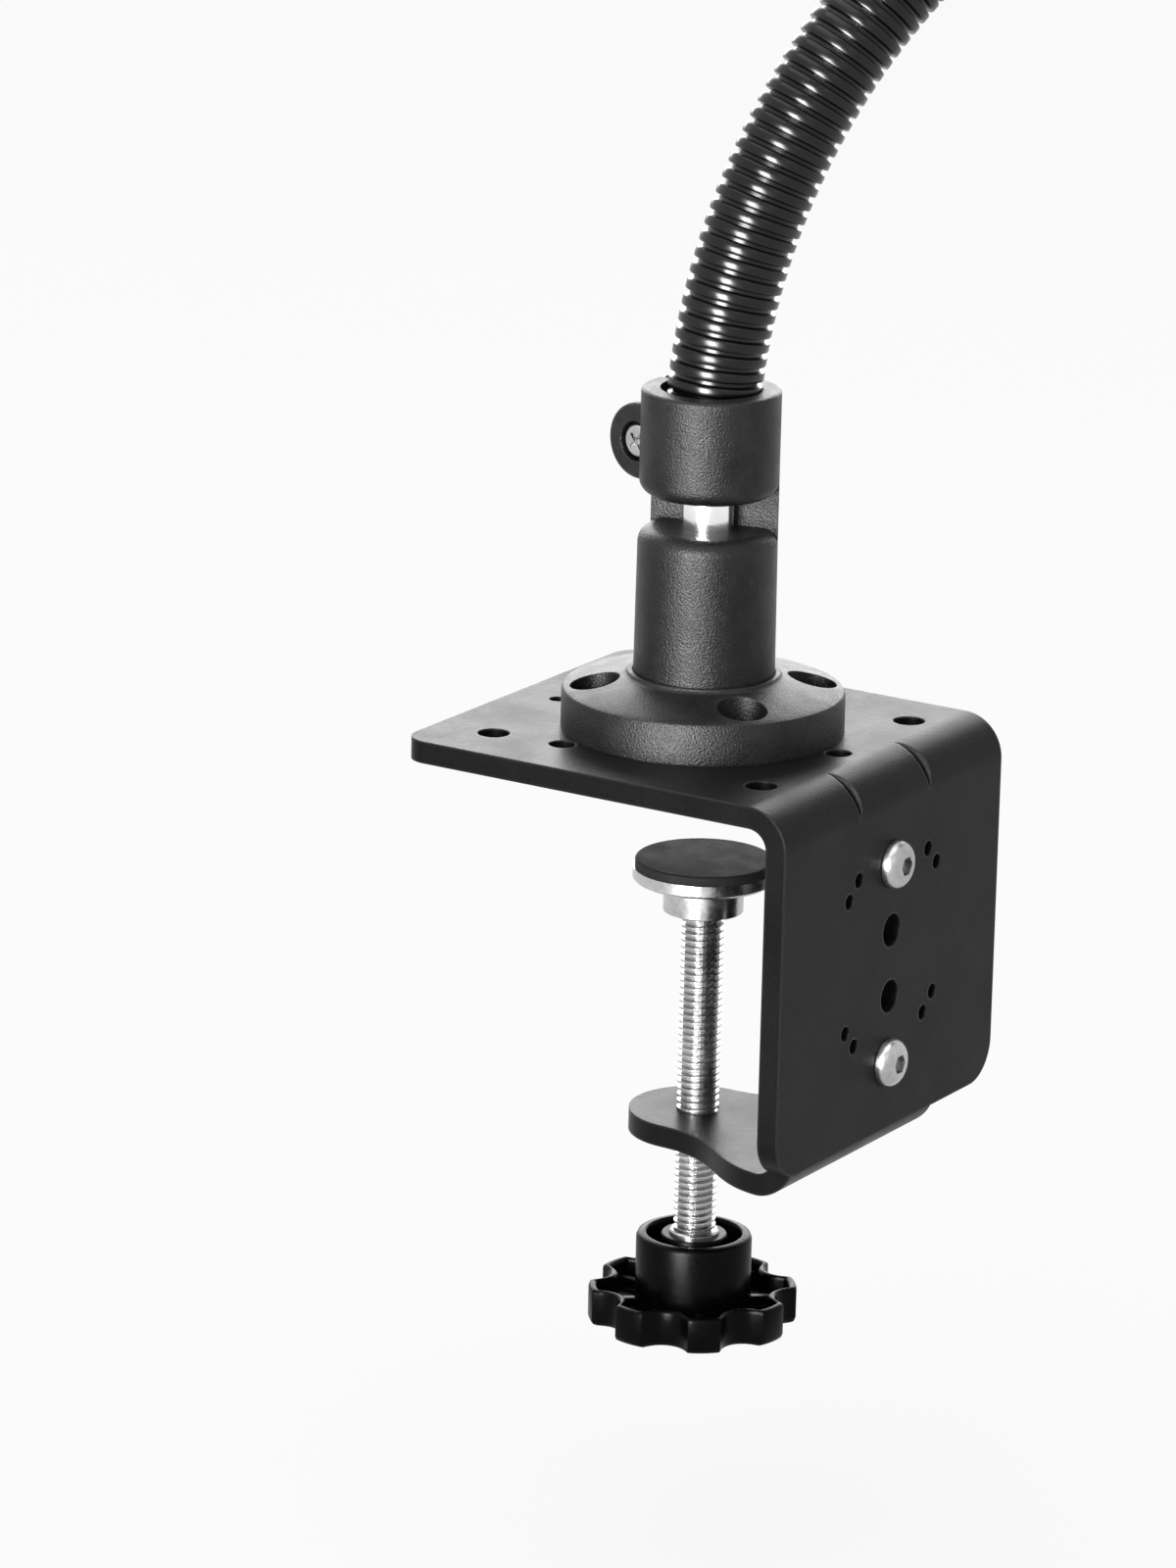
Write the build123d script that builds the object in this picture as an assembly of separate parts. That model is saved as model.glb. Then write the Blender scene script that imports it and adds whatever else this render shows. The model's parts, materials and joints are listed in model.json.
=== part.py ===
from build123d import *
import math
import os

# Gooseneck tablet mount with a desk clamp.
# Millimetres. The origin is on the underside of the top plate, below the post, which is where
# the desk's top surface lies. +Z is up and +Y runs in over the desk.

# Bent clamp plate
PLATE_WIDTH = 94.0
PLATE_DEPTH = 99.0
PLATE_HEIGHT = 84.0
PLATE_THICK = 5.0
PLATE_BEND_R = 4.5
PLATE_FRONT_Y = -50.0
PLATE_LOWER_CORNER_R = 9.0
PLATE_BACK_CORNER_R = 6.0
DART_X = 15.0
DART_HALF_ANGLE = 28.0
CORNER_HOLE_R = 3.6
CORNER_HOLE_DX = 63.8
CORNER_HOLE_DY = 68.9
SPARE_HOLE_R = 3.0
SPARE_HOLE_CIRCLE_R = 35.0
SPARE_HOLE_ANGLES = (30.0, 150.0, 270.0)
VENT_HOLE_R = 2.0
VENT_HOLE_Y = 38.0

# Holes in the front of the plate
ROW_HOLE_R = 3.75
ROW_PITCH = 15.24
ROW_CENTRE_Z = -40.5
AMPS_SHORT = 30.17
AMPS_LONG = 38.05
AMPS_HOLE_R = 1.75
AMPS_CENTRE_Z = -36.8

# Clamp bracket under the desk
BRACKET_THICK = 5.0
BRACKET_BEND_R = 5.0
BRACKET_WIDTH = 62.0
BRACKET_DROP = 83.8
BRACKET_STRIP_WIDTH = 25.0
BRACKET_STRIP_Z = -66.0
BRACKET_TOP_Z = -10.0
TONGUE_TIP_R = 15.5
TONGUE_SHOULDER_Y = -39.0
LEG_FLARE = 0.6
LEG_CORNER_R = 4.0

# Quarter-inch button screws and nuts
SCREW_R = 3.175
SCREW_HEAD_R = 5.55
SCREW_HEAD_H = 3.35
SCREW_HEAD_EDGE = 0.5
SCREW_CROWN_SHARE = 0.72
SCREW_HOLE_CLEAR = 0.2
SCREW_SOCKET_AF = 3.97
SCREW_SOCKET_DEPTH = 2.0
NUT_AF = 11.1
NUT_THICK = 5.3
SCREW_TIP_OUT = 1.2
THREAD_CLEAR = 0.03
HEAD_ROUND_SHARE = 0.45

# Clamp spindle, pad and hand knob
SPINDLE_Y = -1.5
SPINDLE_R = 4.7625
PAD_REST_Z = -25.0
PAD_R = 16.0
PAD_RUBBER_THICK = 2.0
PAD_RUBBER_INSET = 0.5
PAD_PLATE_THICK = 3.0
PAD_HUB_R = 9.0
PAD_HUB_H = 7.0
PAD_EDGE_ROUND = 0.6
PILOT_TIP_GAP = 0.4
CLIP_RISE = 1.2
PILOT_R = 3.2
PILOT_CLEAR = 0.06
PILOT_LENGTH = 7.5
PILOT_GROOVE_R = 2.5
PILOT_GROOVE_H = 1.4
CLIP_R = 6.0
CLIP_THICK = 1.0
CLIP_CLEAR = 0.2
SHOULDER_GAP = 0.3
KNOB_RIM_BOTTOM_Z = -134.3
KNOB_RIM_H = 8.5
KNOB_R = 23.7
KNOB_VALLEY_DEPTH = 3.9
KNOB_LOBES = 8
KNOB_LOBE_PHASE = -6.8
KNOB_SCOOP_R = 6.0
KNOB_CREST_R = 2.0
KNOB_HUB_R = 13.1
KNOB_HUB_TOP_Z = -113.3
KNOB_HUB_WALL = 2.45
KNOB_HUB_RECESS = 7.0
KNOB_RIM_WALL = 2.4
KNOB_RECESS_FLOOR = 3.0
KNOB_RIB_THICK = 1.6
KNOB_RIB_DROP = 3.0
KNOB_BOSS_R = 7.6
KNOB_BOSS_DROP = 0.2
KNOB_ROUND = 1.6
COLLAR_R = 5.6
COLLAR_RISE = 1.0
COLLAR_DEPTH = 12.0
COLLAR_CHAMFER = 0.4
ROD_SEAT_FLOOR = 1.0

# Round flange
FLANGE_R = 31.5
FLANGE_RIM_H = 9.5
FLANGE_RING_R = 18.6
FLANGE_RING_H = 13.2
FLANGE_RIM_ROUND = 1.4
FLANGE_FLOOR = 3.0
FLANGE_BOLT_PCD = 50.0
FLANGE_BOLT_R = 2.75
FLANGE_SINK_R = 5.6
FLANGE_SINK_DEPTH = 3.2
FLANGE_SINK_RISE = 1.3
FLANGE_FIX_R = 2.5
FLANGE_FIX_HEAD_R = 4.8
FLANGE_FIX_HEAD_H = 2.6
FLANGE_FIX_DEPTH = 6.5

# Post, split collar and pinch screw
POST_FOOT_R = 15.8
POST_R = 15.45
POST_FIT = 0.1
POST_SCREW_R = 4.0
POST_SCREW_HEAD_R = 7.5
POST_SCREW_HEAD_H = 3.6
POST_SCREW_DEPTH = 17.0
SLOT_EDGE_ROUND = 3.4
COLLAR_TOP_ROUND = 1.0
COVER_SEAT_Z = 60.5
COLLAR_HEIGHT = 21.7
COLLAR_BORE_R = 11.3
COLLAR_BORE_DROP = 2.0
SAW_SLOT_H = 7.7
SAW_SLOT_REACH = 4.1
SAW_WEB_ANGLE = 12.0
SLIT_WIDTH = 2.0
SLIT_ANGLE = 77.0
LUG_R = 8.6
LUG_HALF_LENGTH = 8.0
LUG_OUT = 15.3
LUG_Z = 8.0
LUG_ROUND = 1.4
PINCH_R = 2.0
PINCH_CLEAR = 0.15
PINCH_HEAD_R = 3.9
PINCH_HEAD_H = 2.6
PINCH_SLOT_REACH = 2.25
PINCH_SLOT_WIDTH = 0.9
PINCH_SLOT_DEPTH = 1.5
PINCH_RECESS_R = 4.5
PINCH_RECESS_DEPTH = 2.8
PINCH_NUT_AF = 7.0
PINCH_NUT_THICK = 3.2

# Gooseneck
NECK_BEND_R = 148.0
NECK_BEND_ANGLE = 90.0
NECK_AZIMUTH = -35.0
NECK_STRAIGHT = 7.0
COVER_RIDGE_R = 10.45
COVER_GROOVE_R = 9.2
COVER_BORE_R = 8.0
COVER_PITCH = 3.4
COVER_RIDGE_H = 2.2
PIN_R = 5.7
PIN_FIT = 0.05
PIN_LENGTH = 22.0
PIN_END_GAP = 1.0
FERRULE_FLANGE_R = 10.3
PIN_CHAMFER = 0.8
FERRULE_FLANGE_H = 1.5
FERRULE_BARREL_R = 7.9
LINK_COUNT = 7
LINK_R = 6.5
LINK_GAP = 0.4
LINK_CONE = 1.1
LINK_TIP_R = 1.0

# Head: fork, tilt tongue, bolt and knob
FORK_REACH = 44.0
FORK_BODY_LENGTH = 31.0
EAR_R = 12.0
EAR_THICK = 5.5
EAR_GAP = 18.0
TONGUE_CLEAR = 0.3
TILT_BOLT_R = 3.0
TILT_BOLT_FIT = 0.05
TILT_HEAD_R = 5.0
TILT_HEAD_H = 3.5
TILT_SOCKET_AF = 4.0
TILT_SOCKET_DEPTH = 2.1
TILT_KNOB_R = 13.0
TILT_KNOB_H = 12.0
TILT_KNOB_LOBES = 6
TILT_KNOB_GAP = 0.3
TILT_SCOOP_R = 5.9
TILT_SCOOP_DEPTH = 1.8
TILT_CREST_R = 1.2
TILT_NECK_R = 7.8
TILT_NECK_H = 3.0
TILT_BOLT_SINK = 8.4
END_GAP = 0.5
TONGUE_NECK_WIDTH = 16.0
TONGUE_PLATE_OUT = 24.0
TONGUE_PLATE_THICK = 5.0
TONGUE_PLATE_W = 46.0
TONGUE_PLATE_H = 54.0
TONGUE_PLATE_CORNER_R = 5.0

# Cradle
CRADLE_WIDTH = 110.0
CRADLE_HEIGHT = 120.0
CRADLE_THICK = 13.0
CRADLE_CORNER_R = 8.0
CRADLE_EDGE_ROUND = 1.5
JAW_WIDTH = 24.0
JAW_GAP = 14.0
JAW_LIP_THICK = 4.0
JAW_LIP_H = 12.0
JAW_FLOOR = 6.0
JAW_SPACING = 70.0
SLIDE_BAR_H = 10.0
SLIDE_GAP = 0.3
PAD_LAYER = 1.5
PAD_INSET = 1.0
PAD_GAP = 0.2
BACK_PAD_W = 90.0
BACK_PAD_H = 76.0
BACK_PAD_THICK = 1.2
ROD_R = 2.5
ROD_FIT = 0.05
ROD_SEAT = 7.0
ROD_TOP_WALL = 12.0
SPRING_BORE_R = 4.5
SPRING_WIRE_R = 0.4
SPRING_COIL_R = 3.4
SPRING_TURNS = 10
SPRING_GAP = 0.05
STOP_RISE = 1.0
STOP_R = 4.1
STOP_THICK = 2.0
STOP_GAP = 3.0
PLUG_DEPTH = 4.0
CRADLE_SCREW_R = 2.0
CRADLE_SCREW_HEAD_R = 3.6
CRADLE_SCREW_HEAD_H = 2.4
CRADLE_SCREW_DEPTH = 8.0
CRADLE_SOCKET_AF = 2.5
CRADLE_SOCKET_DEPTH = 1.4

# Places worked out from the sizes above
PLATE_INNER_Y = PLATE_FRONT_Y + PLATE_THICK
PLATE_BACK_Y = PLATE_FRONT_Y + PLATE_DEPTH
PLATE_TOP_Z = PLATE_THICK
PLATE_BOTTOM_Z = PLATE_TOP_Z - PLATE_HEIGHT
PLATE_OUTER_BEND_R = PLATE_BEND_R + PLATE_THICK
LEG_INNER_Y = PLATE_INNER_Y + BRACKET_THICK
NUT_END_Y = LEG_INNER_Y + NUT_THICK
TONGUE_TOP_Z = -BRACKET_DROP
TONGUE_BOTTOM_Z = TONGUE_TOP_Z - BRACKET_THICK
ROW_HOLES_Z = [ROW_CENTRE_Z + ROW_PITCH * step for step in (-1.5, -0.5, 0.5, 1.5)]
SCREW_ROWS_Z = [ROW_HOLES_Z[0], ROW_HOLES_Z[3]]
PAD_PLATE_TOP_Z = PAD_REST_Z - PAD_RUBBER_THICK
PAD_HUB_BOTTOM_Z = PAD_PLATE_TOP_Z - PAD_PLATE_THICK - PAD_HUB_H
PILOT_TIP_Z = PAD_HUB_BOTTOM_Z - SHOULDER_GAP + PILOT_LENGTH
CLIP_Z = PAD_HUB_BOTTOM_Z + CLIP_RISE
KNOB_RIM_TOP_Z = KNOB_RIM_BOTTOM_Z + KNOB_RIM_H
KNOB_BOSS_TOP_Z = KNOB_HUB_TOP_Z - KNOB_BOSS_DROP
FLANGE_BOTTOM_Z = PLATE_TOP_Z
POST_BOTTOM_Z = FLANGE_BOTTOM_Z + FLANGE_FLOOR
SAW_TOP = -COLLAR_BORE_DROP
SAW_BOTTOM = SAW_TOP - SAW_SLOT_H
PIN_BOTTOM = -FERRULE_FLANGE_H - PIN_LENGTH - SAW_SLOT_H / 2
ARC_START_Z = COVER_SEAT_Z + NECK_STRAIGHT
BEND_DIR = Vector(math.cos(math.radians(NECK_AZIMUTH)), math.sin(math.radians(NECK_AZIMUTH)), 0)
BOTTOM = (Align.CENTER, Align.CENTER, Align.MIN)


def save(node, shape):
    """Write one node's solids to its STEP file."""
    solids = shape.solids()
    shape = solids[0] if len(solids) == 1 else Compound(children=list(solids))
    export_step(shape, "parts/" + node + ".step")
    print(node, len(solids), round(sum(s.volume for s in solids)))


def disc(radius, low, high, x=0.0, y=0.0):
    """An upright cylinder from one height to another."""
    return Pos(x, y, low) * Cylinder(radius, high - low, align=BOTTOM)


def cone(low_r, high_r, low, high, x=0.0, y=0.0):
    """An upright cone from one height to another."""
    return Pos(x, y, low) * Cone(low_r, high_r, high - low, align=BOTTOM)


def bar_y(radius, low, high, x=0.0, z=0.0):
    """A cylinder that lies along Y."""
    return Pos(x, low, z) * Rot(-90, 0, 0) * Cylinder(radius, high - low, align=BOTTOM)


def slab(x0, x1, y0, y1, z0, z1):
    """A box given by its two corners."""
    return Pos(x0, y0, z0) * Box(x1 - x0, y1 - y0, z1 - z0, align=(Align.MIN, Align.MIN, Align.MIN))


def hexagon(across_flats, height):
    """A hexagonal prism standing on the origin."""
    return extrude(RegularPolygon(across_flats / 2, 6, major_radius=False), amount=height)


def on_circle(radius, angle):
    """The X and Y of a point on a circle."""
    return radius * math.cos(math.radians(angle)), radius * math.sin(math.radians(angle))


def amps_holes():
    """Two four-hole patterns, one upright and one on its side."""
    places = []
    for wide, high in ((AMPS_SHORT, AMPS_LONG), (AMPS_LONG, AMPS_SHORT)):
        for side in (-1, 1):
            for level in (-1, 1):
                places.append((side * wide / 2, AMPS_CENTRE_Z + level * high / 2))
    return places


def dart_prism(apex_depth, open_depth, half_angle, x):
    """A V-section prism across the bend. Its sharp edge lies apex_depth below the chord."""
    reach = 4 * PLATE_OUTER_BEND_R
    rise = open_depth + apex_depth
    half = rise * math.tan(math.radians(half_angle))
    outline = Polyline((0, -apex_depth), (half, open_depth), (-half, open_depth), close=True)
    prism = extrude(Plane.XZ * make_face(outline), amount=reach / 2, both=True)
    chord_y = PLATE_FRONT_Y + PLATE_OUTER_BEND_R / 2
    chord_z = PLATE_TOP_Z - PLATE_OUTER_BEND_R / 2
    return Pos(x, chord_y, chord_z) * Rot(45, 0, 0) * prism


def bent_plate():
    """The L-shaped steel plate, with two darts pressed across its bend."""
    half = PLATE_WIDTH / 2
    plate = slab(-half, half, PLATE_FRONT_Y, PLATE_BACK_Y, PLATE_BOTTOM_Z, PLATE_TOP_Z)
    plate -= slab(-half, half, PLATE_INNER_Y, PLATE_BACK_Y, PLATE_BOTTOM_Z, 0)
    along_x = plate.edges().filter_by(Axis.X)
    outer = along_x.sort_by_distance((0, PLATE_FRONT_Y, PLATE_TOP_Z))[0]
    plate = fillet(outer, PLATE_OUTER_BEND_R)
    along_x = plate.edges().filter_by(Axis.X)
    inner = along_x.sort_by_distance((0, PLATE_INNER_Y, 0))[0]
    plate = fillet(inner, PLATE_BEND_R)
    lower = plate.edges().filter_by(Axis.Y).group_by(Axis.Z)[0]
    plate = fillet(lower, PLATE_LOWER_CORNER_R)
    back = plate.edges().filter_by(Axis.Z).group_by(Axis.Y)[-1]
    plate = fillet(back, PLATE_BACK_CORNER_R)
    for side in (-1, 1):
        plate += pressed_ridge(side * DART_X)
    for side in (-1, 1):
        plate -= dart_prism(0, PLATE_OUTER_BEND_R, DART_HALF_ANGLE, side * DART_X)
    return plate - plate_holes()


def pressed_ridge(x):
    """The low ridge that a dart leaves on the inside of the bend."""
    depth = PLATE_THICK * 0.9
    ridge = dart_prism(depth, 0.0, DART_HALF_ANGLE * 0.75, x)
    corner = slab(x - PLATE_THICK, x + PLATE_THICK, PLATE_FRONT_Y + PLATE_THICK / 2,
                  PLATE_FRONT_Y + PLATE_OUTER_BEND_R + PLATE_THICK,
                  PLATE_TOP_Z - PLATE_OUTER_BEND_R - PLATE_THICK, PLATE_TOP_Z - PLATE_THICK / 2)
    return ridge & corner


def plate_holes():
    """Everything that is drilled or countersunk in the bent plate."""
    low = -1.0
    high = PLATE_TOP_Z + 1.0
    holes = []
    for side in (-1, 1):
        for end in (-1, 1):
            holes.append(disc(CORNER_HOLE_R, low, high, side * CORNER_HOLE_DX / 2, end * CORNER_HOLE_DY / 2))
    for angle in SPARE_HOLE_ANGLES:
        x, y = on_circle(SPARE_HOLE_CIRCLE_R, angle)
        holes.append(disc(SPARE_HOLE_R, low, high, x, y))
    holes.append(disc(VENT_HOLE_R, low, high, 0, VENT_HOLE_Y))
    for x, y in flange_fix_places():
        holes.append(screw_hole(FLANGE_FIX_R, FLANGE_FIX_HEAD_R, FLANGE_FIX_HEAD_H, high, x, y))
    holes.append(screw_hole(POST_SCREW_R, POST_SCREW_HEAD_R, POST_SCREW_HEAD_H, high, 0, 0))
    near = PLATE_FRONT_Y - 1
    far = PLATE_INNER_Y + 1
    for z in ROW_HOLES_Z:
        holes.append(bar_y(ROW_HOLE_R, near, far, 0, z))
    for x, z in amps_holes():
        holes.append(bar_y(AMPS_HOLE_R, near, far, x, z))
    return holes


def screw_hole(shank_r, head_r, head_h, top, x, y):
    """A clearance hole with a countersink at the plate's underside."""
    clear = SCREW_HOLE_CLEAR
    hole = disc(shank_r + clear, -1, top, x, y)
    return hole + cone(head_r + clear, shank_r + clear, 0, head_h, x, y) + disc(head_r + clear, -1, 0, x, y)


def flange_fix_places():
    """Where the four screws from below enter the flange."""
    return [on_circle(FLANGE_BOLT_PCD / 2, angle) for angle in (0, 90, 180, 270)]


def sunk_screw(shank_r, head_r, head_h, length, x, y):
    """A flat-head screw pointing up, its head flush with the plate's underside."""
    screw = cone(head_r, shank_r, 0, head_h, x, y) + disc(shank_r, 0, length, x, y)
    socket = Pos(x, y, 0) * hexagon(shank_r * 1.1, head_h * 0.7)
    return screw - socket


def flange_screws():
    """The four flat-head screws that hold the flange to the plate."""
    length = PLATE_THICK + FLANGE_FIX_DEPTH
    return [sunk_screw(FLANGE_FIX_R, FLANGE_FIX_HEAD_R, FLANGE_FIX_HEAD_H, length, x, y)
            for x, y in flange_fix_places()]


def post_screw():
    """The large flat-head screw that draws the post down into the flange."""
    length = POST_BOTTOM_Z + POST_SCREW_DEPTH
    return sunk_screw(POST_SCREW_R, POST_SCREW_HEAD_R, POST_SCREW_HEAD_H, length, 0, 0)


def flange_base():
    """The round moulded flange with a raised ring around the post."""
    base = FLANGE_BOTTOM_Z
    post_r = POST_FOOT_R + POST_FIT
    inner = POST_SCREW_R + SCREW_HOLE_CLEAR
    outline = Polyline((inner, 0), (FLANGE_R, 0), (FLANGE_R, FLANGE_RIM_H),
                       (FLANGE_RING_R + 2.2, FLANGE_RING_H - 1.6), (FLANGE_RING_R, FLANGE_RING_H),
                       (post_r, FLANGE_RING_H), (post_r, FLANGE_FLOOR), (inner, FLANGE_FLOOR), close=True)
    flange = Pos(0, 0, base) * revolve(Plane.XZ * make_face(outline), Axis.Z)
    rim = flange.edges().filter_by(GeomType.CIRCLE).sort_by_distance((FLANGE_R, 0, base + FLANGE_RIM_H))
    rim = [edge for edge in rim if abs(edge.radius - FLANGE_R) < 0.01 and edge.center().Z > base + 1]
    flange = fillet(rim, FLANGE_RIM_ROUND)
    for angle in (45, 135, 225, 315):
        x, y = on_circle(FLANGE_BOLT_PCD / 2, angle)
        mouth = base + FLANGE_RIM_H + FLANGE_SINK_RISE
        flange -= disc(FLANGE_BOLT_R, base - 1, mouth + 5, x, y)
        flange -= cone(FLANGE_BOLT_R, FLANGE_SINK_R, mouth - FLANGE_SINK_DEPTH, mouth, x, y)
        flange -= disc(FLANGE_SINK_R, mouth, mouth + 5, x, y)
    for x, y in flange_fix_places():
        flange -= disc(FLANGE_FIX_R + THREAD_CLEAR, base - 1, base + FLANGE_FIX_DEPTH + 0.5, x, y)
    return flange


def lug_blank():
    """The pinch lug beside the collar, before it is split. It points along +X."""
    ear = Pos(LUG_OUT, 0, LUG_Z) * Rot(90, 0, 0) * Cylinder(LUG_R, 2 * LUG_HALF_LENGTH)
    return fillet(ear.edges().filter_by(GeomType.CIRCLE), LUG_ROUND)


def lug_cuts():
    """Screw hole, head recess and nut pocket across the lug. It points along +X."""
    side = Pos(LUG_OUT, LUG_HALF_LENGTH, LUG_Z) * Rot(90, 0, 0)
    through = side * Cylinder(PINCH_R + PINCH_CLEAR, 2 * LUG_HALF_LENGTH, align=BOTTOM)
    recess = side * Cylinder(PINCH_RECESS_R, PINCH_RECESS_DEPTH, align=BOTTOM)
    far = Pos(LUG_OUT, -LUG_HALF_LENGTH, LUG_Z) * Rot(-90, 0, 0)
    pocket = far * hexagon(PINCH_NUT_AF + 2 * PINCH_CLEAR, PINCH_NUT_THICK + PINCH_CLEAR)
    return through + recess + pocket


def split_collar(low, lug_angle, web_angle):
    """A post and its split clamp collar around the gooseneck's end. The cover seats at z = 0."""
    saw_mid = (SAW_TOP + SAW_BOTTOM) / 2
    lower = cone(POST_FOOT_R, POST_R, low, SAW_BOTTOM)
    lower = fillet(lower.edges().group_by(Axis.Z)[-1], SLOT_EDGE_ROUND)
    upper = disc(POST_R, SAW_TOP, COLLAR_HEIGHT)
    upper = fillet(upper.edges().group_by(Axis.Z)[-1], COLLAR_TOP_ROUND)
    upper = fillet(upper.edges().group_by(Axis.Z)[0], SLOT_EDGE_ROUND)
    web = disc(POST_R, SAW_BOTTOM - SLOT_EDGE_ROUND, SAW_TOP + SLOT_EDGE_ROUND)
    web &= Rot(0, 0, web_angle) * slab(SAW_SLOT_REACH, 2 * POST_R, -2 * POST_R, 2 * POST_R,
                                       saw_mid - SAW_SLOT_H, saw_mid + SAW_SLOT_H)
    body = lower + upper + web + Rot(0, 0, lug_angle) * lug_blank()
    body -= disc(COLLAR_BORE_R, SAW_TOP, COLLAR_HEIGHT + LUG_R)
    body -= disc(PIN_R + PIN_FIT, PIN_BOTTOM - PIN_END_GAP, SAW_TOP + 1)
    slit = slab(0, LUG_OUT + 2 * LUG_R, -SLIT_WIDTH / 2, SLIT_WIDTH / 2, SAW_TOP - 0.01, COLLAR_HEIGHT + 1)
    return body - Rot(0, 0, lug_angle) * slit - Rot(0, 0, lug_angle) * lug_cuts()


def socket_post():
    """The moulded post that carries the gooseneck."""
    low = POST_BOTTOM_Z - COVER_SEAT_Z
    body = split_collar(low, SLIT_ANGLE, SAW_WEB_ANGLE)
    body -= disc(POST_SCREW_R + THREAD_CLEAR, low - 1, low + POST_SCREW_DEPTH + 1)
    return Pos(0, 0, COVER_SEAT_Z) * body


def pinch_screw():
    """The cross-slotted pan-head screw of a collar. It points along +X like the lug."""
    length = 2 * LUG_HALF_LENGTH - PINCH_RECESS_DEPTH
    seat = Pos(LUG_OUT, LUG_HALF_LENGTH - PINCH_RECESS_DEPTH, LUG_Z)
    shank = seat * Rot(90, 0, 0) * Cylinder(PINCH_R, length, align=BOTTOM)
    head = Cylinder(PINCH_HEAD_R, PINCH_HEAD_H, align=BOTTOM)
    head = fillet(head.edges().group_by(Axis.Z)[-1], PINCH_HEAD_H * HEAD_ROUND_SHARE)
    slot = slab(-PINCH_SLOT_REACH, PINCH_SLOT_REACH, -PINCH_SLOT_WIDTH / 2, PINCH_SLOT_WIDTH / 2,
                PINCH_HEAD_H - PINCH_SLOT_DEPTH, PINCH_HEAD_H + 1)
    head -= Rot(0, 0, 45) * (slot + Rot(0, 0, 90) * slot)
    return shank + seat * Rot(-90, 0, 0) * head


def pinch_nut():
    """The square-set hexagon nut in the far side of the lug."""
    far = Pos(LUG_OUT, -LUG_HALF_LENGTH + PINCH_NUT_THICK, LUG_Z) * Rot(90, 0, 0)
    nut = far * hexagon(PINCH_NUT_AF, PINCH_NUT_THICK)
    return nut - far * Cylinder(PINCH_R + THREAD_CLEAR, 3 * PINCH_NUT_THICK)


def base_place():
    """Where a base fitting modelled around the cover's seat belongs."""
    return Pos(0, 0, COVER_SEAT_Z)


def head_place():
    """Where a head fitting modelled around the cover's seat belongs. Its +Z looks back down the neck."""
    end = neck_point(NECK_BEND_ANGLE) + neck_tangent(NECK_BEND_ANGLE) * NECK_STRAIGHT
    return Pos(end.X, end.Y, end.Z) * Rot(0, 0, NECK_AZIMUTH) * Rot(0, NECK_BEND_ANGLE - 180, 0)


def neck_point(angle):
    """A point on the neck's arc, the angle measured from its foot."""
    turn = math.radians(angle)
    out = NECK_BEND_R * (1 - math.cos(turn))
    return BEND_DIR * out + Vector(0, 0, ARC_START_Z + NECK_BEND_R * math.sin(turn))


def neck_tangent(angle):
    """The neck's direction at an angle along its arc."""
    turn = math.radians(angle)
    return BEND_DIR * math.sin(turn) + Vector(0, 0, math.cos(turn))


def neck_location(angle):
    """A frame on the neck's arc whose +Z runs along the neck."""
    point = neck_point(angle)
    return Pos(point.X, point.Y, point.Z) * Rot(0, 0, NECK_AZIMUTH) * Rot(0, angle, 0)


def neck_bar(radius, start, end):
    """A round bar that follows the neck's arc from one angle to another."""
    face = neck_location(start) * Circle(radius)
    centre = Vector(0, 0, ARC_START_Z) + BEND_DIR * NECK_BEND_R
    hinge = Axis((centre.X, centre.Y, centre.Z), neck_hinge())
    return revolve(face, hinge, end - start)


def neck_hinge():
    """The direction that the neck bends about."""
    return (-BEND_DIR.Y, BEND_DIR.X, 0)


def ferrule():
    """The steel end fitting: pin, flange and the barrel inside the cover. The cover seats at z = 0."""
    pin = disc(PIN_R, PIN_BOTTOM, -FERRULE_FLANGE_H)
    pin = chamfer(pin.edges().group_by(Axis.Z)[0], PIN_CHAMFER)
    flange = disc(FERRULE_FLANGE_R, -FERRULE_FLANGE_H, 0)
    return pin + flange + disc(FERRULE_BARREL_R, 0, NECK_STRAIGHT)


def core_link(index):
    """One link of the steel core, with a blunt cone at each end that turns on its neighbour."""
    share = NECK_BEND_ANGLE / LINK_COUNT
    per_mm = math.degrees(1 / NECK_BEND_R)
    first = index == 0
    last = index == LINK_COUNT - 1
    start = index * share + (0 if first else (LINK_GAP / 2 + LINK_CONE) * per_mm)
    end = (index + 1) * share - (0 if last else (LINK_GAP / 2 + LINK_CONE) * per_mm)
    link = neck_bar(LINK_R, start, end)
    tip = Cone(LINK_R, LINK_TIP_R, LINK_CONE, align=BOTTOM)
    if not last:
        link += neck_location(end) * tip
    if not first:
        link += neck_location(start) * Rot(180, 0, 0) * tip
    return link


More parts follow.
